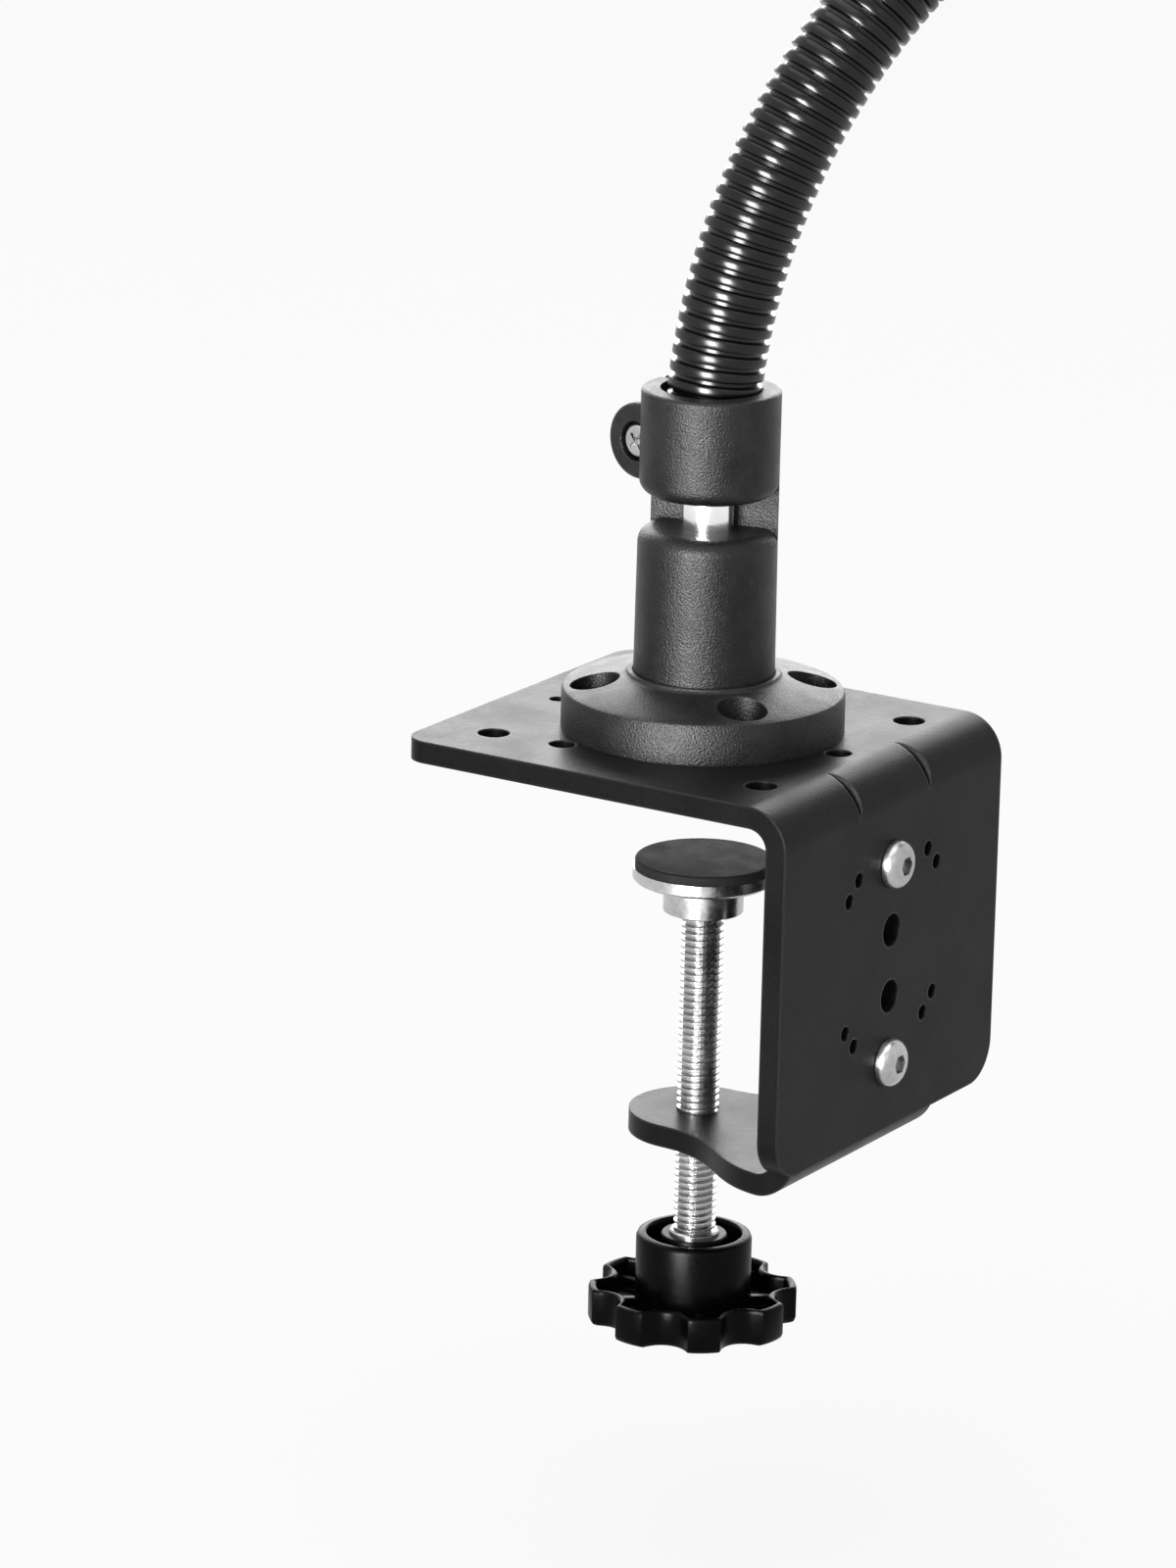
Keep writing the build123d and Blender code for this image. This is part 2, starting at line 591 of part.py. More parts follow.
def gooseneck_cover():
    """The corrugated plastic cover, one ridge after another along the neck."""
    arc_ridges = round(math.radians(NECK_BEND_ANGLE) * NECK_BEND_R / COVER_PITCH)
    end_ridges = int(NECK_STRAIGHT / COVER_PITCH)
    step = math.degrees(math.radians(NECK_BEND_ANGLE) / arc_ridges)
    core_r = (COVER_GROOVE_R + COVER_BORE_R) / 2
    ridge = Cylinder(COVER_RIDGE_R, COVER_RIDGE_H) - Cylinder(core_r, COVER_PITCH)
    foot = Pos(0, 0, COVER_SEAT_Z)
    head = head_place()
    tube = foot * Cylinder(COVER_GROOVE_R, NECK_STRAIGHT, align=BOTTOM)
    tube += neck_bar(COVER_GROOVE_R, 0, NECK_BEND_ANGLE)
    tube += head * Cylinder(COVER_GROOVE_R, NECK_STRAIGHT, align=BOTTOM)
    ridges = [neck_location((i + 0.5) * step) * ridge for i in range(arc_ridges)]
    for i in range(end_ridges):
        lift = NECK_STRAIGHT - (i + 0.5) * COVER_PITCH
        ridges.append(foot * Pos(0, 0, lift) * ridge)
        ridges.append(head * Pos(0, 0, lift) * ridge)
    bore = foot * Pos(0, 0, -1) * Cylinder(COVER_BORE_R, NECK_STRAIGHT + 1, align=BOTTOM)
    bore += neck_bar(COVER_BORE_R, 0, NECK_BEND_ANGLE)
    bore += head * Pos(0, 0, -1) * Cylinder(COVER_BORE_R, NECK_STRAIGHT + 1, align=BOTTOM)
    print("cover ridges", len(ridges))
    return (tube + ridges) - bore


def head_socket():
    """The moulded head: the same split collar, running on into a two-eared fork."""
    body = split_collar(-FORK_BODY_LENGTH, 180, 0)
    half = EAR_GAP / 2 + EAR_THICK
    block = slab(-half, half, -EAR_R, EAR_R, -FORK_REACH, -FORK_BODY_LENGTH + 6)
    block += Pos(0, 0, -FORK_REACH) * Rot(0, 90, 0) * Cylinder(EAR_R, 2 * half)
    slot = slab(-EAR_GAP / 2, EAR_GAP / 2, -2 * EAR_R, 2 * EAR_R, -FORK_REACH - 2 * EAR_R,
                -FORK_REACH + EAR_R + 1)
    body += block
    body -= slot
    body -= disc(PIN_R + PIN_FIT, PIN_BOTTOM - PIN_END_GAP, SAW_TOP)
    body -= Pos(0, 0, -FORK_REACH) * Rot(0, 90, 0) * Cylinder(TILT_BOLT_R + TILT_BOLT_FIT, 3 * half)
    return head_place() * body


def tilt_pivot():
    """The pivot point of the head."""
    return neck_point(NECK_BEND_ANGLE) + neck_tangent(NECK_BEND_ANGLE) * (NECK_STRAIGHT + FORK_REACH)


def tilt_place():
    """The cradle's frame: +Z up, -Y towards the tablet's screen, the origin on the pivot."""
    pivot = tilt_pivot()
    return Pos(pivot.X, pivot.Y, pivot.Z)


def tilt_bolt():
    """The upright bolt through the fork."""
    half = EAR_GAP / 2 + EAR_THICK
    shank = disc(TILT_BOLT_R, -half - TILT_KNOB_GAP - TILT_BOLT_SINK, half)
    head = Pos(0, 0, half) * Cylinder(TILT_HEAD_R, TILT_HEAD_H, align=BOTTOM)
    head = fillet(head.edges().group_by(Axis.Z)[-1], TILT_HEAD_H * HEAD_ROUND_SHARE)
    head -= Pos(0, 0, half + TILT_HEAD_H - TILT_SOCKET_DEPTH) * hexagon(TILT_SOCKET_AF, TILT_HEAD_H)
    return tilt_place() * (shank + head)


def lobed_outline(radius, lobes, scoop_r, depth, crest_r):
    """A circle with finger scoops around it, every crest rounded."""
    outline = Circle(radius)
    for i in range(lobes):
        x, y = on_circle(radius - depth + scoop_r, (i + 0.5) * 360 / lobes)
        outline -= Pos(x, y) * Circle(scoop_r)
    return fillet(outline.vertices(), crest_r)


def prism(outline, low, high):
    """An outline in the XY plane, extruded from one height to another."""
    return Pos(0, 0, low) * extrude(outline, amount=high - low)


def tilt_knob():
    """The hand knob under the fork that locks the tilt."""
    top = -EAR_GAP / 2 - EAR_THICK - TILT_KNOB_GAP
    outline = lobed_outline(TILT_KNOB_R, TILT_KNOB_LOBES, TILT_SCOOP_R, TILT_SCOOP_DEPTH, TILT_CREST_R)
    knob = prism(outline, top - TILT_KNOB_H, top - TILT_NECK_H)
    knob = fillet(knob.edges().group_by(Axis.Z)[0], TILT_CREST_R)
    knob += disc(TILT_NECK_R, top - TILT_KNOB_H / 2, top)
    knob -= disc(TILT_BOLT_R + TILT_BOLT_FIT, top - TILT_BOLT_SINK - END_GAP, top + 1)
    return tilt_place() * knob


def tilt_tongue():
    """The tongue in the fork and the four-hole plate in front of it."""
    high = EAR_GAP - 2 * TONGUE_CLEAR
    radius = EAR_R - TONGUE_CLEAR
    neck = TONGUE_NECK_WIDTH / 2
    tongue = Cylinder(radius, high)
    tongue += slab(-neck, neck, -TONGUE_PLATE_OUT - 1, 0, -high / 2, high / 2)
    face_y = -TONGUE_PLATE_OUT - TONGUE_PLATE_THICK
    outline = RectangleRounded(TONGUE_PLATE_W, TONGUE_PLATE_H, TONGUE_PLATE_CORNER_R)
    tongue += Pos(0, face_y, 0) * extrude(Plane.XZ * outline, amount=-TONGUE_PLATE_THICK)
    tongue -= Cylinder(TILT_BOLT_R + TILT_BOLT_FIT, 2 * high)
    for x, z in cradle_screw_places():
        tongue -= bar_y(CRADLE_SCREW_R + SCREW_HOLE_CLEAR, face_y - 1, -TONGUE_PLATE_OUT + 1, x, z)
    return tilt_place() * tongue


def cradle_screw_places():
    """The four-hole pattern between tongue and cradle."""
    return [(i * AMPS_SHORT / 2, j * AMPS_LONG / 2) for i in (-1, 1) for j in (-1, 1)]


def cradle_screws():
    """The four screws from the back of the tongue's plate into the cradle."""
    seat_y = -TONGUE_PLATE_OUT
    screws = []
    for x, z in cradle_screw_places():
        shank = bar_y(CRADLE_SCREW_R, seat_y - TONGUE_PLATE_THICK - CRADLE_SCREW_DEPTH, seat_y, x, z)
        head = Cylinder(CRADLE_SCREW_HEAD_R, CRADLE_SCREW_HEAD_H, align=BOTTOM)
        head = fillet(head.edges().group_by(Axis.Z)[-1], CRADLE_SCREW_HEAD_H * HEAD_ROUND_SHARE)
        socket_z = CRADLE_SCREW_HEAD_H - CRADLE_SOCKET_DEPTH
        head -= Pos(0, 0, socket_z) * hexagon(CRADLE_SOCKET_AF, CRADLE_SCREW_HEAD_H)
        screws.append(tilt_place() * (shank + Pos(x, seat_y, z) * Rot(-90, 0, 0) * head))
    return screws


def cradle_back_y():
    """The cradle's back face, which lies on the tongue's plate."""
    return -TONGUE_PLATE_OUT - TONGUE_PLATE_THICK


def cradle_front_y():
    """The cradle's front face, behind the tablet."""
    return cradle_back_y() - CRADLE_THICK


def jaw(x, root, sign):
    """One hook: a floor that runs forward and a lip that stands up from it."""
    front = cradle_front_y()
    lip_y = front - JAW_GAP - JAW_LIP_THICK
    low, high = sorted((root, root + sign * JAW_FLOOR))
    floor = slab(x - JAW_WIDTH / 2, x + JAW_WIDTH / 2, lip_y, front + 1, low, high)
    low, high = sorted((root, root - sign * JAW_LIP_H))
    lip = slab(x - JAW_WIDTH / 2, x + JAW_WIDTH / 2, lip_y, lip_y + JAW_LIP_THICK, low, high)
    hook = floor + lip
    nose = hook.edges().filter_by(Axis.X).sort_by_distance((x, lip_y, root + sign * JAW_FLOOR))[0]
    hook = fillet(nose, JAW_LIP_THICK)
    tip = hook.edges().filter_by(Axis.Y).sort_by_distance((x, lip_y, root - sign * JAW_LIP_H))[:2]
    return fillet(tip, JAW_LIP_THICK * 0.7)


def jaw_places():
    """The two sides that carry a hook and a guide rod."""
    return [side * JAW_SPACING / 2 for side in (-1, 1)]


def rod_y():
    """The depth of the guide rods, in the middle of the cradle."""
    return (cradle_back_y() + cradle_front_y()) / 2


def cradle_back():
    """The cradle's body with the two lower hooks and the bores for rods and springs."""
    half = CRADLE_HEIGHT / 2
    outline = RectangleRounded(CRADLE_WIDTH, CRADLE_HEIGHT, CRADLE_CORNER_R)
    body = Pos(0, cradle_front_y(), 0) * extrude(Plane.XZ * outline, amount=-CRADLE_THICK)
    body = chamfer(body.faces().sort_by(Axis.Y)[0].edges(), CRADLE_EDGE_ROUND)
    body = chamfer(body.faces().sort_by(Axis.Y)[-1].edges(), CRADLE_EDGE_ROUND)
    for x in jaw_places():
        body += jaw(x, -half + JAW_FLOOR, -1)
    for x in jaw_places():
        body -= disc(SPRING_BORE_R, -half - 1, half - ROD_TOP_WALL, x, rod_y())
        body -= disc(ROD_R + ROD_FIT, 0, half + 1, x, rod_y())
    for x, z in cradle_screw_places():
        depth = cradle_back_y() - CRADLE_SCREW_DEPTH - END_GAP
        body -= bar_y(CRADLE_SCREW_R + THREAD_CLEAR, depth, cradle_back_y() + 1, x, z)
    return tilt_place() * body


def cradle_slide():
    """The spring-loaded upper jaw: a bar with two hooks."""
    low = CRADLE_HEIGHT / 2 + SLIDE_GAP
    high = low + SLIDE_BAR_H
    half = CRADLE_WIDTH / 2 - CRADLE_CORNER_R
    bar = slab(-half, half, cradle_front_y(), cradle_back_y(), low, high)
    bar = chamfer(bar.edges().filter_by(Axis.X).group_by(Axis.Z)[-1], CRADLE_EDGE_ROUND)
    ends = bar.edges().filter_by(Axis.Y)
    bar = fillet(ends.group_by(Axis.Z)[-1], SLIDE_BAR_H * 0.3)
    for x in jaw_places():
        bar += jaw(x, high - JAW_FLOOR, 1)
    for x in jaw_places():
        bar -= disc(ROD_R + THREAD_CLEAR, low - 1, low + ROD_SEAT, x, rod_y())
    return tilt_place() * bar


def rod_bottom():
    """The lower end of the guide rods, which is held off the plugs."""
    return -CRADLE_HEIGHT / 2 + PLUG_DEPTH + STOP_GAP


def guide_rods():
    """The two steel rods that guide the slide."""
    high = CRADLE_HEIGHT / 2 + SLIDE_GAP + ROD_SEAT - SLIDE_GAP
    return [tilt_place() * disc(ROD_R, rod_bottom(), high, x, rod_y()) for x in jaw_places()]


def rod_stops():
    """The ring at the foot of each rod that the spring pushes on."""
    low = rod_bottom() + STOP_RISE
    high = low + STOP_THICK
    stops = []
    for x in jaw_places():
        ring = disc(STOP_R, low, high, x, rod_y())
        ring -= disc(ROD_R + THREAD_CLEAR, low - 1, high + 1, x, rod_y())
        stops.append(tilt_place() * ring)
    return stops


def return_springs():
    """The compression spring around each rod, between its stop and the shoulder above."""
    low = rod_bottom() + STOP_RISE + STOP_THICK + SPRING_WIRE_R + SPRING_GAP
    high = CRADLE_HEIGHT / 2 - ROD_TOP_WALL - SPRING_WIRE_R - SPRING_GAP
    pitch = (high - low) / SPRING_TURNS
    path = Helix(pitch, high - low, SPRING_COIL_R)
    start = path @ 0
    section = Plane(start, z_dir=path % 0) * Circle(SPRING_WIRE_R)
    coil = sweep(section, path=path, is_frenet=True)
    return [tilt_place() * Pos(x, rod_y(), low) * coil for x in jaw_places()]


def bore_plugs():
    """The plug pressed into the foot of each spring bore."""
    low = -CRADLE_HEIGHT / 2
    radius = SPRING_BORE_R - THREAD_CLEAR
    return [tilt_place() * disc(radius, low, low + PLUG_DEPTH, x, rod_y()) for x in jaw_places()]


def jaw_pads(root, sign):
    """A thin rubber pad on the floor of each hook."""
    front = cradle_front_y()
    low, high = sorted((root, root - sign * PAD_LAYER))
    half = JAW_WIDTH / 2 - PAD_INSET
    pads = []
    for x in jaw_places():
        pad = slab(x - half, x + half, front - JAW_GAP + PAD_GAP, front - PAD_GAP, low, high)
        pads.append(tilt_place() * pad)
    return pads


def back_pad():
    """The grippy sheet on the cradle's front."""
    outline = RectangleRounded(BACK_PAD_W, BACK_PAD_H, CRADLE_CORNER_R / 2)
    sheet = extrude(Plane.XZ * outline, amount=BACK_PAD_THICK)
    return tilt_place() * Pos(0, cradle_front_y(), 0) * sheet


def tongue_outline():
    """The plan of the clamp bracket: a round tip that widens in an S to the bend."""
    tip_y = SPINDLE_Y
    half = BRACKET_WIDTH / 2
    far = PLATE_FRONT_Y - 1
    tip = ThreePointArc((TONGUE_TIP_R, tip_y), (0, tip_y + TONGUE_TIP_R), (-TONGUE_TIP_R, tip_y))
    left = Spline((-TONGUE_TIP_R, tip_y), (-half, TONGUE_SHOULDER_Y), tangents=[(0, -1), (0, -1)])
    right = Spline((half, TONGUE_SHOULDER_Y), (TONGUE_TIP_R, tip_y), tangents=[(0, 1), (0, 1)])
    base = Polyline((-half, TONGUE_SHOULDER_Y), (-half, far), (half, far), (half, TONGUE_SHOULDER_Y))
    return make_face([tip, left, base, right])


def leg_outline():
    """The front view of the clamp bracket: wide at the bend, narrow between the tapped holes."""
    half = BRACKET_WIDTH / 2
    strip = BRACKET_STRIP_WIDTH / 2
    low = TONGUE_BOTTOM_Z - 1
    blend = (half - strip) * LEG_FLARE
    outline = make_face(Polyline((-half, low), (half, low), (half, BRACKET_STRIP_Z - blend),
                                 (strip, BRACKET_STRIP_Z), (strip, BRACKET_TOP_Z), (-strip, BRACKET_TOP_Z),
                                 (-strip, BRACKET_STRIP_Z), (-half, BRACKET_STRIP_Z - blend), close=True))
    corners = outline.vertices().group_by(Axis.Y)[1:]
    return fillet([vertex for level in corners for vertex in level], LEG_CORNER_R)


def clamp_bracket():
    """The L-shaped bracket whose tongue carries the clamp screw."""
    half = BRACKET_WIDTH / 2
    tip_end = SPINDLE_Y + TONGUE_TIP_R + 1
    blank = slab(-half, half, PLATE_INNER_Y, tip_end, TONGUE_BOTTOM_Z, BRACKET_TOP_Z)
    blank -= slab(-half, half, LEG_INNER_Y, tip_end, TONGUE_TOP_Z, BRACKET_TOP_Z)
    outer = blank.edges().filter_by(Axis.X).sort_by_distance((0, PLATE_INNER_Y, TONGUE_BOTTOM_Z))[0]
    blank = fillet(outer, BRACKET_BEND_R + BRACKET_THICK)
    inner = blank.edges().filter_by(Axis.X).sort_by_distance((0, LEG_INNER_Y, TONGUE_TOP_Z))[0]
    blank = fillet(inner, BRACKET_BEND_R)
    plan = Pos(0, 0, TONGUE_BOTTOM_Z - 1) * extrude(tongue_outline(), amount=BRACKET_DROP + BRACKET_THICK)
    front = Pos(0, tip_end, 0) * extrude(Plane.XZ * leg_outline(), amount=tip_end - PLATE_FRONT_Y)
    bracket = blank & plan & front
    bracket -= disc(SPINDLE_R + THREAD_CLEAR, TONGUE_BOTTOM_Z - 1, TONGUE_TOP_Z + 1, 0, SPINDLE_Y)
    for z in ROW_HOLES_Z:
        bracket -= bar_y(ROW_HOLE_R + SCREW_HOLE_CLEAR, PLATE_INNER_Y - 1, LEG_INNER_Y + 1, 0, z)
    return bracket


def button_profile():
    """Half the section of a button head: a short upright edge, then an arc to the flat top."""
    edge = (SCREW_HEAD_R, SCREW_HEAD_EDGE)
    crown = (SCREW_HEAD_R * SCREW_CROWN_SHARE, SCREW_HEAD_H * SCREW_CROWN_SHARE)
    top = (SCREW_R, SCREW_HEAD_H)
    base = Polyline((0, SCREW_HEAD_H), (0, 0), (SCREW_HEAD_R, 0), edge)
    return make_face([base, ThreePointArc(edge, crown, top), Line(top, (0, SCREW_HEAD_H))])


def bracket_screws():
    """The two button-head screws in the front of the plate."""
    tip_y = NUT_END_Y + SCREW_TIP_OUT
    screws = []
    for z in SCREW_ROWS_Z:
        shank = bar_y(SCREW_R, PLATE_FRONT_Y, tip_y, 0, z)
        head = revolve(Plane.XZ * button_profile(), Axis.Z)
        socket_z = SCREW_HEAD_H - SCREW_SOCKET_DEPTH
        head -= Pos(0, 0, socket_z) * hexagon(SCREW_SOCKET_AF, SCREW_HEAD_H)
        screws.append(shank + Pos(0, PLATE_FRONT_Y, z) * Rot(90, 0, 0) * head)
    return screws


def bracket_nuts():
    """The two hexagon nuts behind the bracket."""
    nuts = []
    for z in SCREW_ROWS_Z:
        nut = Pos(0, NUT_END_Y, z) * Rot(90, 0, 0) * hexagon(NUT_AF, NUT_THICK)
        nuts.append(nut - bar_y(SCREW_R + THREAD_CLEAR, LEG_INNER_Y - 1, NUT_END_Y + 1, 0, z))
    return nuts


def clamp_spindle():
    """The threaded rod, turned down at its top where the pad swivels."""
    shoulder = PAD_HUB_BOTTOM_Z - SHOULDER_GAP
    foot = KNOB_BOSS_TOP_Z - COLLAR_DEPTH + ROD_SEAT_FLOOR
    rod = disc(SPINDLE_R, foot, shoulder)
    rod = chamfer(rod.edges().group_by(Axis.Z)[-1], PIN_CHAMFER)
    rod += disc(PILOT_R, shoulder - PIN_CHAMFER / 2, PILOT_TIP_Z)
    low = CLIP_Z - (PILOT_GROOVE_H - CLIP_THICK) / 2
    high = low + PILOT_GROOVE_H
    groove = disc(PILOT_R + 1, low, high) - disc(PILOT_GROOVE_R, low - 1, high + 1)
    return Pos(0, SPINDLE_Y, 0) * (rod - groove)


def pressure_plate():
    """The steel pad under the desk, with a hub for the spindle's tip."""
    plate_low = PAD_PLATE_TOP_Z - PAD_PLATE_THICK
    plate = disc(PAD_R, plate_low, PAD_PLATE_TOP_Z)
    plate = chamfer(plate.edges().group_by(Axis.Z)[0], PAD_EDGE_ROUND)
    plate += disc(PAD_HUB_R, PAD_HUB_BOTTOM_Z, plate_low)
    plate -= disc(PILOT_R + PILOT_CLEAR, PAD_HUB_BOTTOM_Z - 1, PILOT_TIP_Z + PILOT_TIP_GAP)
    plate -= disc(CLIP_R, PAD_HUB_BOTTOM_Z - 1, CLIP_Z + CLIP_THICK)
    return Pos(0, SPINDLE_Y, 0) * plate


def pad_clip():
    """The ring in the hub that keeps the pad on the spindle."""
    ring = disc(CLIP_R, CLIP_Z, CLIP_Z + CLIP_THICK)
    ring -= disc(PILOT_GROOVE_R + CLIP_CLEAR, CLIP_Z - 1, CLIP_Z + CLIP_THICK + 1)
    return Pos(0, SPINDLE_Y, 0) * ring


def pad_face():
    """The rubber disc that meets the desk."""
    face = disc(PAD_R - PAD_RUBBER_INSET, PAD_PLATE_TOP_Z, PAD_REST_Z)
    return Pos(0, SPINDLE_Y, 0) * fillet(face.edges().group_by(Axis.Z)[-1], PAD_EDGE_ROUND)


def knob_hollow(outline):
    """The ring-shaped hollow between the knob's rim and hub, crossed by one rib behind each lobe."""
    low = KNOB_RIM_BOTTOM_Z + KNOB_RECESS_FLOOR
    hollow = prism(offset(outline, amount=-KNOB_RIM_WALL), low, KNOB_RIM_TOP_Z + 1)
    hollow -= disc(KNOB_HUB_R, low - 1, KNOB_RIM_TOP_Z + 2)
    half = KNOB_RIB_THICK / 2
    for i in range(KNOB_LOBES):
        rib = slab(0, KNOB_R, -half, half, low - 1, KNOB_RIM_TOP_Z - KNOB_RIB_DROP)
        hollow -= Rot(0, 0, i * 360 / KNOB_LOBES) * rib
    return hollow


def knob_well():
    """The ring-shaped well in the top of the knob's hub, around the boss."""
    low = KNOB_HUB_TOP_Z - KNOB_HUB_RECESS
    well = disc(KNOB_HUB_R - KNOB_HUB_WALL, low, KNOB_HUB_TOP_Z + 1)
    return well - disc(KNOB_BOSS_R, low - 1, KNOB_BOSS_TOP_Z)


def hand_knob():
    """The lobed knob, hollow between rim and hub, open upwards."""
    outline = lobed_outline(KNOB_R, KNOB_LOBES, KNOB_SCOOP_R, KNOB_VALLEY_DEPTH, KNOB_CREST_R)
    rim = prism(outline, KNOB_RIM_BOTTOM_Z, KNOB_RIM_TOP_Z)
    rim = fillet(rim.edges().group_by(Axis.Z)[0], KNOB_ROUND)
    hub = disc(KNOB_HUB_R, KNOB_RIM_BOTTOM_Z + KNOB_RECESS_FLOOR, KNOB_HUB_TOP_Z)
    hub = fillet(hub.edges().group_by(Axis.Z)[-1], KNOB_ROUND / 2)
    knob = rim + hub - knob_hollow(outline) - knob_well()
    knob -= disc(COLLAR_R, KNOB_BOSS_TOP_Z - COLLAR_DEPTH, KNOB_BOSS_TOP_Z + 1)
    return Pos(0, SPINDLE_Y, 0) * Rot(0, 0, KNOB_LOBE_PHASE) * knob


def spindle_collar():
    """The steel insert in the knob that the rod is fixed in."""
    low = KNOB_BOSS_TOP_Z - COLLAR_DEPTH
    collar = disc(COLLAR_R, low, KNOB_BOSS_TOP_Z + COLLAR_RISE)
    collar = chamfer(collar.edges().group_by(Axis.Z)[-1], COLLAR_CHAMFER)
    seat = disc(SPINDLE_R, low + ROD_SEAT_FLOOR, KNOB_BOSS_TOP_Z + 2 * COLLAR_RISE)
    return Pos(0, SPINDLE_Y, 0) * (collar - seat)


def group(shapes):
    """Several separate solids of one node."""
    return Compound(children=[solid for shape in shapes for solid in shape.solids()])


def slide_jaw_root():
    """The floor height of the upper hooks."""
    return CRADLE_HEIGHT / 2 + SLIDE_GAP + SLIDE_BAR_H - JAW_FLOOR


def save_clamp():
    """The clamp: plate, flange, post, bracket and screw."""
    save("bent_plate", bent_plate())
    save("flange_base", flange_base())
    save("flange_screws", group(flange_screws()))
    save("socket_post", socket_post())
    save("post_screw", post_screw())
    turn = Rot(0, 0, SLIT_ANGLE)
    save("pinch_screw", base_place() * turn * pinch_screw())
    save("pinch_nut", base_place() * turn * pinch_nut())
    save("clamp_bracket", clamp_bracket())
    save("bracket_screws", group(bracket_screws()))
    save("bracket_nuts", group(bracket_nuts()))
    save("clamp_spindle", clamp_spindle())
    save("spindle_collar", spindle_collar())
    save("hand_knob", hand_knob())
    save("pressure_plate", pressure_plate())
    save("pad_face", pad_face())
    save("pad_clip", pad_clip())


def save_neck():
    """The gooseneck: two end fittings, the core's links and the cover."""
    save("base_ferrule", base_place() * ferrule())
    for index in range(LINK_COUNT):
        save("core_link_" + str(index + 1), core_link(index))
    save("gooseneck_cover", gooseneck_cover())
    save("top_ferrule", head_place() * ferrule())


def save_head():
    """The head: fork, tilt tongue, cradle and its slide."""
    save("head_socket", head_socket())
    turn = Rot(0, 0, 180)
    save("head_pinch_screw", head_place() * turn * pinch_screw())
    save("head_pinch_nut", head_place() * turn * pinch_nut())
    save("tilt_bolt", tilt_bolt())
    save("tilt_knob", tilt_knob())
    save("tilt_tongue", tilt_tongue())
    save("cradle_back", cradle_back())
    save("cradle_screws", group(cradle_screws()))
    save("cradle_slide", cradle_slide())
    save("guide_rods", group(guide_rods()))
    save("rod_stops", group(rod_stops()))
    save("return_springs", group(return_springs()))
    save("bore_plugs", group(bore_plugs()))
    save("lower_pads", group(jaw_pads(-CRADLE_HEIGHT / 2 + JAW_FLOOR, -1)))
    save("upper_pads", group(jaw_pads(slide_jaw_root(), 1)))
    save("back_pad", back_pad())


os.makedirs("parts", exist_ok=True)
save_clamp()
save_neck()
save_head()
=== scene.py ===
# %% [markdown]
# # A screw clamp with a gooseneck and a tablet cradle
# The measured solids come from the imported model. This script dresses them. It places the camera
# as in the photograph, lights the object softly and gives every surface its finish. It also
# models the pieces that a plain solid shows less well: the corrugated cover laid along the
# neck's bend, the screw's real thread, the hand knob, the two front bolts, the flange and the springs.

# %% Load the measured frame
import json
import math

import bmesh
import bpy
from mathutils import Matrix, Vector


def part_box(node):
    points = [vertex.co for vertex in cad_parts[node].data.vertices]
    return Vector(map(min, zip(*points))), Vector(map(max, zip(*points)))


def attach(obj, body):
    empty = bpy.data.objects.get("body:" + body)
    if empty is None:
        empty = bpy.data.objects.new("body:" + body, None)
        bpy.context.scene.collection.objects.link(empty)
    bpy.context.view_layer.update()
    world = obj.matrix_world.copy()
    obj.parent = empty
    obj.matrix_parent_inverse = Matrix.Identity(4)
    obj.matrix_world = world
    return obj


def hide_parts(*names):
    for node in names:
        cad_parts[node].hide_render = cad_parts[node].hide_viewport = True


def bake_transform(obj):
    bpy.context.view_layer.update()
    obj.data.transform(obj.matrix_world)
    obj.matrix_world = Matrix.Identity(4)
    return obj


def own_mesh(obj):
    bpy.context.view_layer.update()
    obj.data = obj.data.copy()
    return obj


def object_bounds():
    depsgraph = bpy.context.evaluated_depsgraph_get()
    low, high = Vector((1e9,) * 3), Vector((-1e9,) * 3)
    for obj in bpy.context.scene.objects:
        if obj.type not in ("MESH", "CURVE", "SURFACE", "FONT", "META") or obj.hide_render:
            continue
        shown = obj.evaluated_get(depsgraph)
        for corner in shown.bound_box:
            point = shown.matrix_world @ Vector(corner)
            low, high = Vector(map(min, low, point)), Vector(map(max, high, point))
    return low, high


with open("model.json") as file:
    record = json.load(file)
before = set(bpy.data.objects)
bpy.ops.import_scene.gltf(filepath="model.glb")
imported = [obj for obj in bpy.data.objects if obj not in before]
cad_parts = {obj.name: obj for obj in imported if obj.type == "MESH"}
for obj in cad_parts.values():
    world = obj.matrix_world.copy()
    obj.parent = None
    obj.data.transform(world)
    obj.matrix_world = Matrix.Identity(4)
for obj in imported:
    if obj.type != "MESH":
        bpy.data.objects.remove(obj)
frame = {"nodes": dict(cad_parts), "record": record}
cad_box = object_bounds()
nodes = frame["nodes"]

# %% [markdown]
# The photograph was taken with a long lens, a little above the clamp and well to its left.
# The camera could be aimed by eye, but its place was worked out from the plate's corners and
# holes instead, so that the edges fall close to where the photograph has them. A tall frame
# keeps the vertical sensor size fixed.

# %% Camera
CAMERA_PLACE = Vector((-1.37764, -0.83054, 0.46260))
CAMERA_TURN = (73.6610, -1.2808, -57.6472)
LENS_MM = 173.17
SENSOR_MM = 36.0
FARTHEST = 50.0

camera_data = bpy.data.cameras.new("camera")
camera_data.sensor_fit = "VERTICAL"
camera_data.sensor_height = SENSOR_MM
camera_data.lens = LENS_MM
camera_data.clip_end = FARTHEST
camera = bpy.data.objects.new("camera", camera_data)
camera.location = CAMERA_PLACE
camera.rotation_euler = [math.radians(turn) for turn in CAMERA_TURN]
bpy.context.scene.collection.objects.link(camera)
bpy.context.scene.camera = camera
print("camera", tuple(round(c, 3) for c in CAMERA_PLACE), "lens", LENS_MM)

